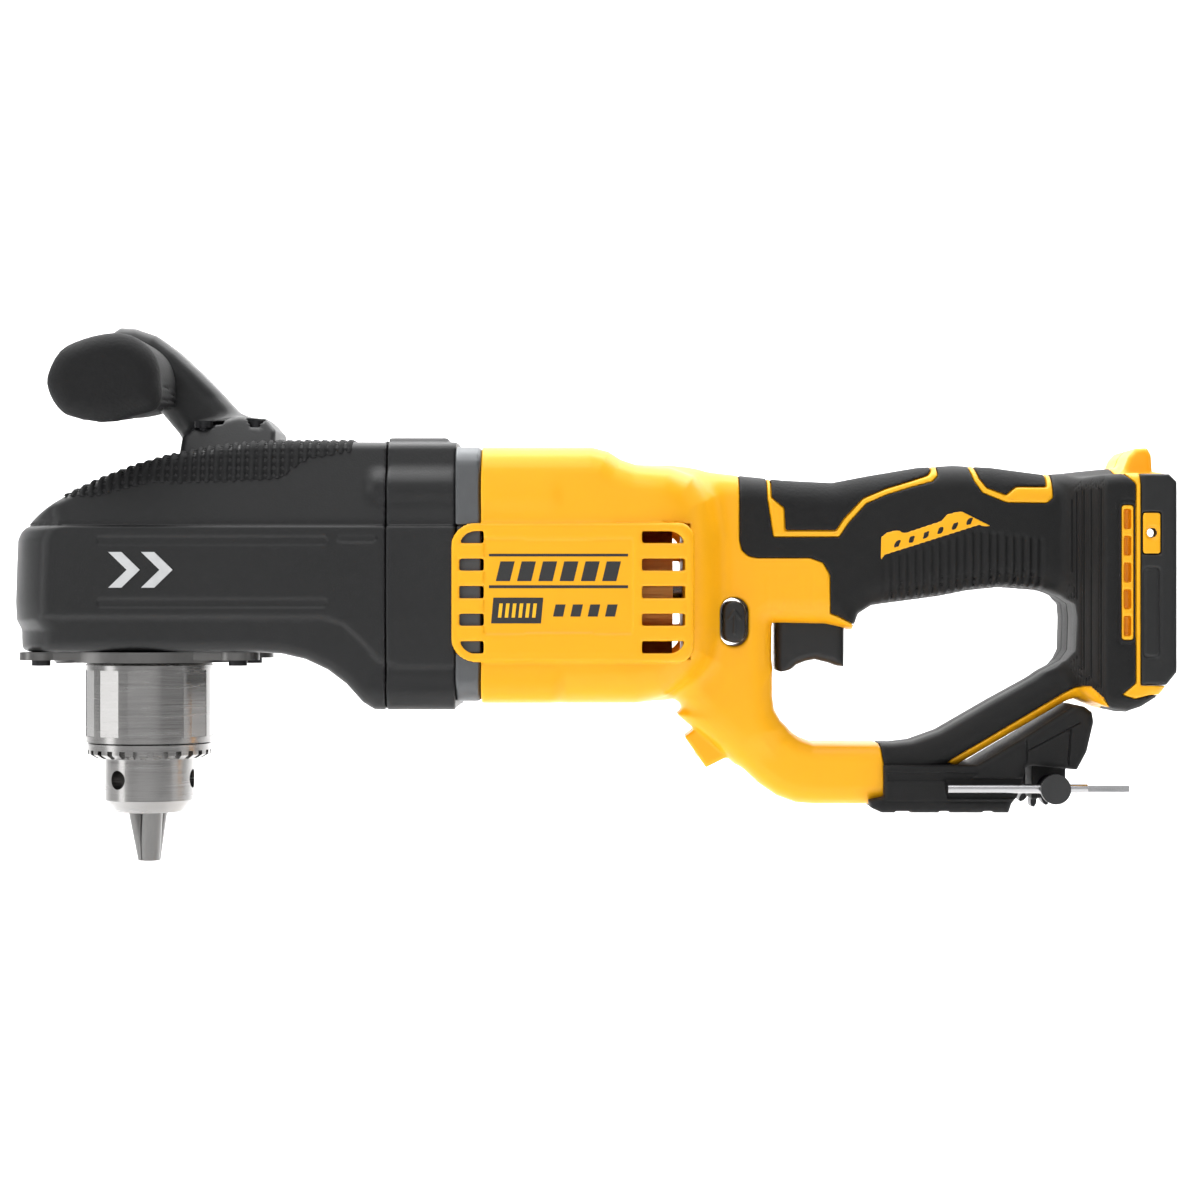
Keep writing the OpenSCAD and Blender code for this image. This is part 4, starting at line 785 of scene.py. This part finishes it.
def build_housing():
    step = 0.72
    low = (motor_low[0] - 1.5, -MOTOR_HALF - 1.5, 20)
    g = Grid(low, (REAR_X + 1.5, 2.5, 165), step)
    # the sample planes straddle the middle plane evenly
    g.y = (g.y - g.y[0, -3, 0]).astype(np.float32)
    g.low[1] = float(g.y[0, 0, 0])
    px, pz = flat_axes(g)
    y = np.abs(g.y)
    d = housing_field(g)
    left = g.y + 0.06

    # vent panel proud of the motor bay, reaching over the bearing plate
    panel = rect_field(px, pz, VENT_PANEL, (VENT_BACK - motor_low[0], 53.4), 9.5)
    plate = np.maximum(slab(raise_flat(panel), y, MOTOR_HALF, 1.6), 38.4 - y)
    body = np.maximum(d, HOUSING_X - g.x)
    body = np.minimum(body, plate)
    body_panel = rect_field(px, pz, ((HOUSING_X + VENT_BACK) / 2, MOTOR_Z - 1.4),
                            (VENT_BACK - HOUSING_X, 53.4), 6)
    backing = np.maximum(slab(raise_flat(body_panel), y, MOTOR_HALF - 0.4, 1.5), HOUSING_X - g.x)
    body = np.minimum(body, np.maximum(backing, 30 - y))
    # label field sits a little lower, between two tabs
    label = rect_field(px, pz, (162.1, 108), (57, 36.4), 1.0)
    tabs = np.minimum(polygon_field(px, pz, [(143, 135), (180, 135), (175.4, 125.8), (149.4, 125.8)]),
                      polygon_field(px, pz, [(143, 80), (180, 80), (175.4, 90.2), (149.4, 90.2)]))
    label = cut(label, tabs)
    body = cut(body, raise_flat(label), -(y - MOTOR_HALF + 0.7))
    # groove round the vent panel
    rim = np.abs(panel + 2.4) - 0.25
    body = cut(body, raise_flat(rim), MOTOR_HALF - 0.35 - y)
    # vents
    inner = panel + 3.4
    for z in VENT_ROWS:
        for x0, x1 in ((motor_low[0] + 3.2, 133.6), (193.9, 211.9)):
            slot = rect_field(px, pz, ((x0 + x1) / 2, z), (x1 - x0, 4.6), 0.5)
            slot = np.maximum(slot, inner)
            body = cut(body, raise_flat(slot), 24 - y)
    # motor bay and the pockets behind the vents
    bay = common(np.sqrt(g.y ** 2 + (g.z - MOTOR_Z) ** 2) - 33.5, HOUSING_X - 1 - g.x, g.x - 210)
    side_bay = common(np.abs(g.z - MOTOR_Z + 1) - 26, y - 37.2, 190 - g.x, g.x - 212.4)
    body = cut(body, np.minimum(bay, np.maximum(side_bay, 20 - y)))
    # trigger mouth, button window
    mouth = common(246.2 - g.x, g.x - 274.4, y - 8.8, 66 - g.z, g.z - 109)
    body = cut(body, mouth)
    window = rect_field(px, pz, BUTTON_SPOT, (9.2, 17.0), 4.6)
    rimmed = rect_field(px, pz, BUTTON_SPOT, (11.4, 19.2), 5.6)
    body = cut(body, raise_flat(window))
    body = cut(body, raise_flat(rimmed), -(body + 0.9))
    # wells that lead the screws in from the right side
    wells = np.full(px.shape, 1e3)
    for wx, wz in SCREW_SPOTS:
        wells = np.minimum(wells, np.sqrt((px - wx) ** 2 + (pz - wz) ** 2) - WELL_R)
    wells = np.maximum(raise_flat(wells), WELL_FLOOR - y)
    # faint square texture patch above the trigger
    patch = rect_field(px, pz, (251.6, 106.2), (19.4, 14.4), 1)
    lines = 0.14 * (1 + np.cos(2 * np.pi * px / 1.9)) * ease(patch, 1.0)
    body = body + raise_flat(lines)

    skin_flat = polygon_field(px, pz, SKIN_REGION)
    tongue = polygon_field(px, pz, [(262, 99.5), (262, 94), (271.5, 91), (278, 89.4), (278.6, 92.4),
                                    (270, 96.6)])
    skin_flat = cut(skin_flat, tongue)
    pocket = np.minimum(polygon_field(px, pz, FRONT_POCKET), polygon_field(px, pz, REAR_POCKET))
    pads = np.minimum(polygon_field(px, pz, FRONT_PAD), polygon_field(px, pz, REAR_PAD))
    stripe = polygon_field(px, pz, STRIPE)
    accent = np.minimum(cut(pocket, pads - 0.25), stripe)
    grille = rect_field(px, pz, GRILLE_SPOT, (4.6, 51.5), 1.0)
    accent = np.minimum(accent, grille)

    # yellow: outside the rubber's region, or under it, or standing up through it
    under = np.minimum(-(skin_flat - 0.12), accent + 0.12)
    yellow = np.maximum(body, np.minimum(raise_flat(under), d + SKIN))
    yellow = np.maximum(yellow, left)
    for k in range(5):
        slot = rect_field(px, pz, (379.1, 92.8 + 10.2 * k), (2.9, 7.6), 0.4)
        yellow = cut(yellow, raise_flat(slot), DOCK_HALF - 4.5 - y)
    mirrored_pair("housing", g, yellow, YELLOW, FRAME_BODY, {"left": "housing_left",
                                                                               "right": "housing_right"},
                  thin=0.4, right_cut=wells)

    # rubber overmould
    rib_zone = polygon_field(px, pz, [(288.4, 97), (288.4, 119), (325, 130), (330, 129), (351.5, 126.5),
                                      (351.5, 97)])
    ribs = ease(rib_zone, 2.0) * (0.38 + 0.38 * np.clip(1.5 * np.cos(2 * np.pi * (px - 288.4) / 3.2), -1, 1))
    cover = body + raise_flat(ribs) * np.clip((y - 3) / 3, 0, 1)
    cover = cut(cover, d + SKIN)
    cover = np.maximum(cover, raise_flat(skin_flat + 0.12))
    cover = cut(cover, raise_flat(np.minimum(accent, pocket) - 0.12))
    bezel = rect_field(px, pz, GRILLE_SPOT, (7.0, 55.0), 2.0)
    cover = cut(cover, raise_flat(np.abs(bezel) - 0.3), -(d + 0.5))
    cover = np.maximum(cover, left)
    mirrored_pair("overmould", g, cover, RUBBER, FRAME_BODY, {"left": "overmould_left",
                                                                              "right": "overmould_right"},
                  thin=0.45, right_cut=wells)

    # badge plate without lettering, raised over the ribs
    badge_flat = polygon_field(px, pz, BADGE)
    badge = common(d - 0.35, -(d + 0.9), raise_flat(badge_flat))
    badge = np.maximum(badge, left)
    mirrored_pair("grip_badge", g, badge, YELLOW, FRAME_BODY, None, thin=0.6)
    dashes = np.full(px.shape, 1e3)
    for k in range(6):
        x = 291.5 + 5.6 * k
        z = 124.2 + 0.31 * (x - 291.5)
        dashes = np.minimum(dashes, polygon_field(px, pz,
                                                  [(x, z - 1.7), (x + 2.6, z - 0.9), (x + 3.6, z + 2.3),
                                                   (x + 1, z + 1.5)]))
    dashes = common(d - 0.5, -(d + 0.3), raise_flat(dashes))
    mirrored_pair("badge_dashes", g, np.maximum(dashes, left), RUBBER, FRAME_BODY, None)

    # soft pads in their pockets, one piece over both halves
    for name, flat, node in (("grip_pad_front_soft", polygon_field(px, pz, FRONT_PAD), "grip_pad_front"),
                             ("grip_pad_rear_soft", polygon_field(px, pz, REAR_PAD), "grip_pad_rear")):
        slot_gap = polygon_field(px, pz, [(242.6, 142), (244.4, 142), (244.4, 175), (242.6, 175)])
        pad = common(d + 0.05, -(d + SKIN + 0.4), raise_flat(cut(flat + 0.1, slot_gap)))
        half = pad[:, :-2, :]
        whole = np.concatenate([half, half[:, -2::-1, :]], axis=1)
        wide = Grid(g.low, (g.low[0] + step * (g.shape[0] - 1), -g.low[1],
                            g.low[2] + step * (g.shape[2] - 1)), step)
        y_line = (g.low[1] + step * np.arange(whole.shape[1]))[None, :, None]
        for wx, wz in SCREW_SPOTS:
            well = np.sqrt((wide.x - wx) ** 2 + (wide.z - wz) ** 2) - WELL_R
            whole = cut(whole, well, WELL_FLOOR - y_line)
        x_keep = (wide.x[:, 0, 0] > 238) & (wide.x[:, 0, 0] < 358)
        z_keep = wide.z[0, 0, :] > 120
        part = whole[x_keep][:, :, z_keep]
        part_low = (float(wide.x[x_keep][0, 0, 0]), g.low[1], float(wide.z[:, :, z_keep][0, 0, 0]))
        piece_grid = Grid(part_low, part_low, step)
        piece_grid.shape = part.shape
        carve(name, piece_grid, part, PAD, FRAME_BODY, [node], thin=0.6)
    return d, g


# ---------------------------------------------------------------- bearing plate and gear head base

def build_plate():
    """Cast ring between the head and the housing."""
    g = Grid((ring_low[0] - 1, -40, ring_low[2] - 1.5), (ring_high[0] + 1, 40, ring_high[2] + 1.5), 0.7)
    y = np.abs(g.y)
    outer = rect_field(y, g.z, (0, (ring_low[2] + ring_high[2]) / 2), (2 * ring_high[1],
                                                                       ring_high[2] - ring_low[2]), 9)
    ends = np.maximum(ring_low[0] - g.x, g.x - ring_high[0]) + 0.02
    d = soft_max(outer, ends, 1.0)
    # flat lands for the screws, a groove against the housing and the bearing seat
    lands = np.maximum(np.abs(g.z - MOTOR_Z) - 24.5, 34.6 - y)
    d = cut(d, lands, ring_high[1] - 3.4 - y)
    seam = np.abs(g.x - ring_high[0] + 0.5) - 0.35
    d = cut(d, seam, -(outer + 0.7))
    seat = np.sqrt(g.y ** 2 + (g.z - MOTOR_Z) ** 2) - 9.05
    d = cut(d, seat)
    for side in (-1, 1):
        for z in (MOTOR_Z + 38, MOTOR_Z - 38):
            hole = np.sqrt((g.y - side * 26) ** 2 + (g.z - z) ** 2) - 2.6
            d = cut(d, hole)
    carve("bearing_plate_cast", g, d, PLATE, FRAME_BODY, ["bearing_plate"], thin=0.6)


# ---------------------------------------------------------------- controls

def build_trigger():
    low, high = box_mm("trigger")
    g = Grid(low - 1, high + 1, 0.35)
    px, pz = flat_axes(g)
    x0 = low[0]
    side = polygon_field(px, pz, [(x0, 68.6), (x0 + 3.6, 72.4), (x0 + 8.4, 77.2), (x0 + 12, 78.6),
                                  (x0 + 15.6, 79.3), (x0 + 21.4, 77.9), (x0 + 24, 76.8), (x0 + 27.1, 76.5),
                                  (x0 + 27.2, high[2]), (x0, high[2])])
    d = slab(raise_flat(side), np.abs(g.y), high[1], 3.2)
    dish = np.sqrt((g.y) ** 2 * 0.55 + (g.z - 62.5) ** 2 + ((g.x - x0 - 12) * 0.12) ** 2) - 13.2
    d = soft_max(d, -dish, 1.5)
    ridges = 0.12 * (1 + np.cos(2 * np.pi * g.x / 1.6)) * np.clip((82 - g.z) / 2, 0, 1)
    d = d + ridges * np.clip((6 - np.abs(g.y)) / 1.5, 0, 1)
    carve("trigger_lever", g, d, BLACK, "trigger_set", ["trigger"], thin=0.6)


def build_button():
    low, high = box_mm("direction_button")
    g = Grid(low - 0.8, high + 0.8, 0.36)
    px, pz = flat_axes(g)
    centre = (low + high) / 2
    side = rect_field(px, pz, (centre[0], centre[2]), (high[0] - low[0], high[2] - low[2]),
                      (high[0] - low[0]) / 2 - 0.01)
    dome = np.sqrt((g.x - centre[0]) ** 2 + (g.z - centre[2]) ** 2) ** 2 * 0.016
    d = slab(raise_flat(side), np.abs(g.y) + dome, high[1] - 0.3, 1.0)
    shaft = line_field(px, pz, [(centre[0], centre[2] - 4.6), (centre[0], centre[2] + 3)], 0.45)
    point = line_field(px, pz, [(centre[0] - 2.1, centre[2] + 1.4), (centre[0], centre[2] + 4.4),
                                (centre[0] + 2.1, centre[2] + 1.4)], 0.5)
    arrow = raise_flat(np.minimum(shaft, point))
    d = np.minimum(d, np.maximum(arrow, d - 0.32))
    carve("direction_button_cap", g, d, BLACK, "button_set", ["direction_button"], thin=0.6)


# ---------------------------------------------------------------- battery dock

def build_rails():
    low, high = rail_low, rail_high
    g = Grid(low - 1, high + 1, 0.5)
    px, pz = flat_axes(g)
    side = polygon_field(px, pz, [(low[0], low[2]), (high[0] - 4, low[2]), (high[0], low[2] + 5),
                                  (high[0], high[2] - 3), (high[0] - 3, high[2]), (low[0], high[2])])
    # side wall with the lip that hooks round the battery
    wall_part = common(raise_flat(side), low[1] - g.y, g.y - (low[1] + 6.5))
    lip = common(np.abs(g.x - high[0] + 2.0) - 2.0, low[1] + 1 - g.y, g.y - high[1], low[2] + 6 - g.z,
                 g.z - high[2] + 6)
    edge = slab(raise_flat(side), -(g.y - low[1]) + 6.5 - 3.2, 3.25, 1.4)
    d = np.minimum(np.maximum(wall_part, edge - 0.02), lip)
    spot = (388.3, 128.4)
    recess = rect_field(px, pz, (spot[0], 128.2), (7.4, 16.4), 1.2)
    d = cut(d, raise_flat(recess), g.y - low[1] - 1.2)
    groove = rect_field(px, pz, (spot[0], 98), (6.0, 34), 1.5)
    d = cut(d, raise_flat(np.abs(groove) - 0.35), g.y - low[1] - 0.5)
    hole = np.sqrt((g.x - HOOK_SPOT[0]) ** 2 + (g.z - spot[1]) ** 2) - 1.66
    d = cut(d, hole)
    mirrored_pair("rail_cover_shell", g, d, BLACK, FRAME_BODY,
                  {"left": "rail_cover_left", "right": "rail_cover_right"}, thin=0.5)
    insert = rect_field(px, pz, (spot[0], 128.2), (6.6, 15.6), 0.9)
    insert = common(raise_flat(insert), low[1] + 0.15 - g.y, g.y - low[1] - 1.1)
    well = np.sqrt((g.x - HOOK_SPOT[0]) ** 2 + (g.z - spot[1]) ** 2)
    insert = cut(insert, well - 1.75)
    insert = cut(insert, well - 2.7, g.y - low[1] - 0.6)
    mirrored_pair("hook_insert", g, insert, YELLOW, FRAME_BODY, None, thin=0.6)


# ---------------------------------------------------------------- key clip

def build_key_clip():
    low, high = box_mm("key_holder")
    g = Grid(low - 1, high + 1, 0.55)
    px, pz = flat_axes(g)
    x0 = low[0] + 4.6
    outline = [(x0 - 4.5, 25), (x0 - 3.4, 21.9), (x0 + 0.8, 20), (x0 + 50, 20), (x0 + 51.2, 23.6),
               (x0 + 53.4, 26.3), (x0 + 55.5, 32.5), (x0 + 56.8, 38), (x0 + 60, 38.4), (x0 + 76.6, 36.7),
               (x0 + 80.4, 43.8), (x0 + 83.1, 55.4), (x0 + 82.4, 59.2), (x0 + 79.4, 61.4),
               (x0 + 75.5, 61.8), (x0 + 57, 49.8), (x0 + 38, 38.6), (x0 + 1.4, 38.6), (x0 + 1.4, 26.3)]
    side = polygon_field(px, pz, outline)
    d = slab(raise_flat(side), np.abs(g.y), high[1], 2.4)
    bar = polygon_field(px, pz, [(205, 57.5), (240, 31), (247, 26.2), (254.6, 23.4), (262, 22.9),
                                 (290, 22.9), (299, 26.6), (309, 33), (318, 38.4), (366, 66.5), (384, 60),
                                 (384, 86), (352, 86), (266, 80)])
    d = cut(d, slab(raise_flat(bar), np.abs(g.y), BAR_HALF + 0.05, 7))
    key_low, key_high = box_mm("chuck_key")
    key_x = (key_low[0] + key_high[0]) / 2
    key_z = (key_low[2] + key_high[2]) / 2
    channel = np.maximum(np.abs(g.x - key_x) - 4.2, g.z - key_z)
    d = cut(d, channel)
    clip = common(np.abs(g.x - key_x) - 6.6, np.abs(g.y + 0.5) - 8.5, np.abs(g.z - key_z - 3) - 8)
    clip = cut(clip, channel)
    clip = cut(clip, np.sqrt((g.x - key_x) ** 2 + (g.z - key_z) ** 2) - 4.2)
    d = np.minimum(d, clip)
    # grip lines near the lower corner
    for x1, x2 in ((6, 12), (23, 27), (40, 44)):
        notch = rect_field(px, pz, (x0 + (x1 + x2) / 2, 20), (x2 - x1, 1.4), 0.3)
        d = cut(d, raise_flat(notch))
    # raised slide ledge, lower band and the recess beside the bar of the key
    ledge = polygon_field(px, pz, [(x0 + 3, 35.8), (x0 + 3, 32.2), (x0 + 34, 32.2), (x0 + 38.5, 35.8)])
    d = cut(d, raise_flat(ledge), high[1] - 0.8 - np.abs(g.y))
    recess = polygon_field(px, pz, [(x0 + 25, 33.5), (x0 + 62, 33.5), (x0 + 62, 25.6), (x0 + 26, 25.6)])
    d = cut(d, raise_flat(recess), high[1] - 1.5 - np.abs(g.y))
    band = line_field(px, pz, [(x0 + 1, 24.4), (x0 + 53, 24.4)], 0.3)
    d = cut(d, raise_flat(band), high[1] - 0.6 - np.abs(g.y))
    for path in ([(x0 + 56.9, 38), (x0 + 56.9, 50)], [(x0 + 57, 44), (x0 + 77.5, 55)],
                 [(x0 + 73, 39), (x0 + 74, 53)]):
        step_line = line_field(px, pz, path, 0.35)
        d = cut(d, raise_flat(step_line), high[1] - 0.8 - np.abs(g.y))
    carve("key_clip_rubber", g, d, RUBBER, FRAME_BODY, ["key_holder"], thin=0.6)


# ---------------------------------------------------------------- plain panel graphics

def flat_sign(name, outlines, depth, material):
    """Thin raised four-cornered shapes on both sides of the motor housing."""
    caps = ((4, 5, 6, 7), (3, 2, 1, 0))
    side_prisms(name, outlines, MOTOR_HALF - 1.0, MOTOR_HALF - 0.7 + depth, caps, material)


def bar(x0, x1, z0, z1, lean=0.0):
    return [(x0, z0), (x1, z0), (x1 + lean, z1), (x0 + lean, z1)]


def build_signs():
    dark = [bar(135.6, 188.6, 119.3, 120.3), bar(135.6, 188.6, 107.2, 108.3)]
    # row of slanted blocks between the bars
    for k in range(6):
        x = 138.2 + 8.1 * k
        dark.append(bar(x, x + 5.4, 109.9, 117.4, 1.8))
    dark += [bar(136.4, 155.4, 93.8, 103.6, 0.9)]
    flat_sign("panel_bars", dark, 0.1, BLACK)
    pale = [bar(139 + 2.6 * k, 140.3 + 2.6 * k, 96, 101.4, 0.6) for k in range(6)]
    flat_sign("panel_badge_marks", pale, 0.2, YELLOW)
    lower = [bar(160 + 6.6 * k, 163.8 + 6.6 * k, 96.4, 101.0, 1.0) for k in range(4)]
    flat_sign("panel_lower_marks", lower, 0.1, BLACK)


# ---------------------------------------------------------------- materials of the CAD nodes that stay

KEPT = {
    "chuck_body": STEEL, "chuck_sleeve": STEEL, "chuck_nut": GEAR_STEEL, "chuck_screw": OXIDE,
    "jaw_1": JAW_STEEL, "jaw_2": JAW_STEEL, "jaw_3": JAW_STEEL,
    "base_plate": BASE_STEEL, "base_screws": OXIDE, "saddle_screws": OXIDE, "housing_screws": OXIDE,
    "gearcase_screws": OXIDE, "rail_screws": OXIDE,
    "spindle": STEEL, "spindle_gear": GEAR_STEEL, "idler_shaft": GEAR_STEEL, "idler_gear": GEAR_STEEL,
    "crown_shaft": GEAR_STEEL, "crown_gear": GEAR_STEEL, "motor_pinion": GEAR_STEEL, "rotor_shaft": STEEL,
    "spindle_bearings": STEEL, "idler_bearings": STEEL, "crown_bearings": STEEL, "motor_bearings": STEEL,
    "bearing_carrier": PLATE, "crown_bridge": PLATE,
    "rotor_core": LAMINATION, "stator": LAMINATION, "windings": COPPER, "cooling_fan": BLACK,
    "trigger_switch": BLACK, "controller": BOARD, "led_lamp": LAMP,
    "terminal_block": BLACK, "terminals": CONTACT,
    "chuck_key": OXIDE, "key_bar": KEY_STEEL, "key_cap": BLACK,
}


def finish_kept():
    for node, material in KEPT.items():
        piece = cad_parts[node]
        if piece.material_slots:
            for place in piece.material_slots:
                place.material = material
        else:
            piece.data.materials.append(material)


build_head()
build_mark()
build_handle()
build_plate()
build_housing()
build_trigger()
build_button()
build_rails()
build_key_clip()
build_signs()
finish_kept()
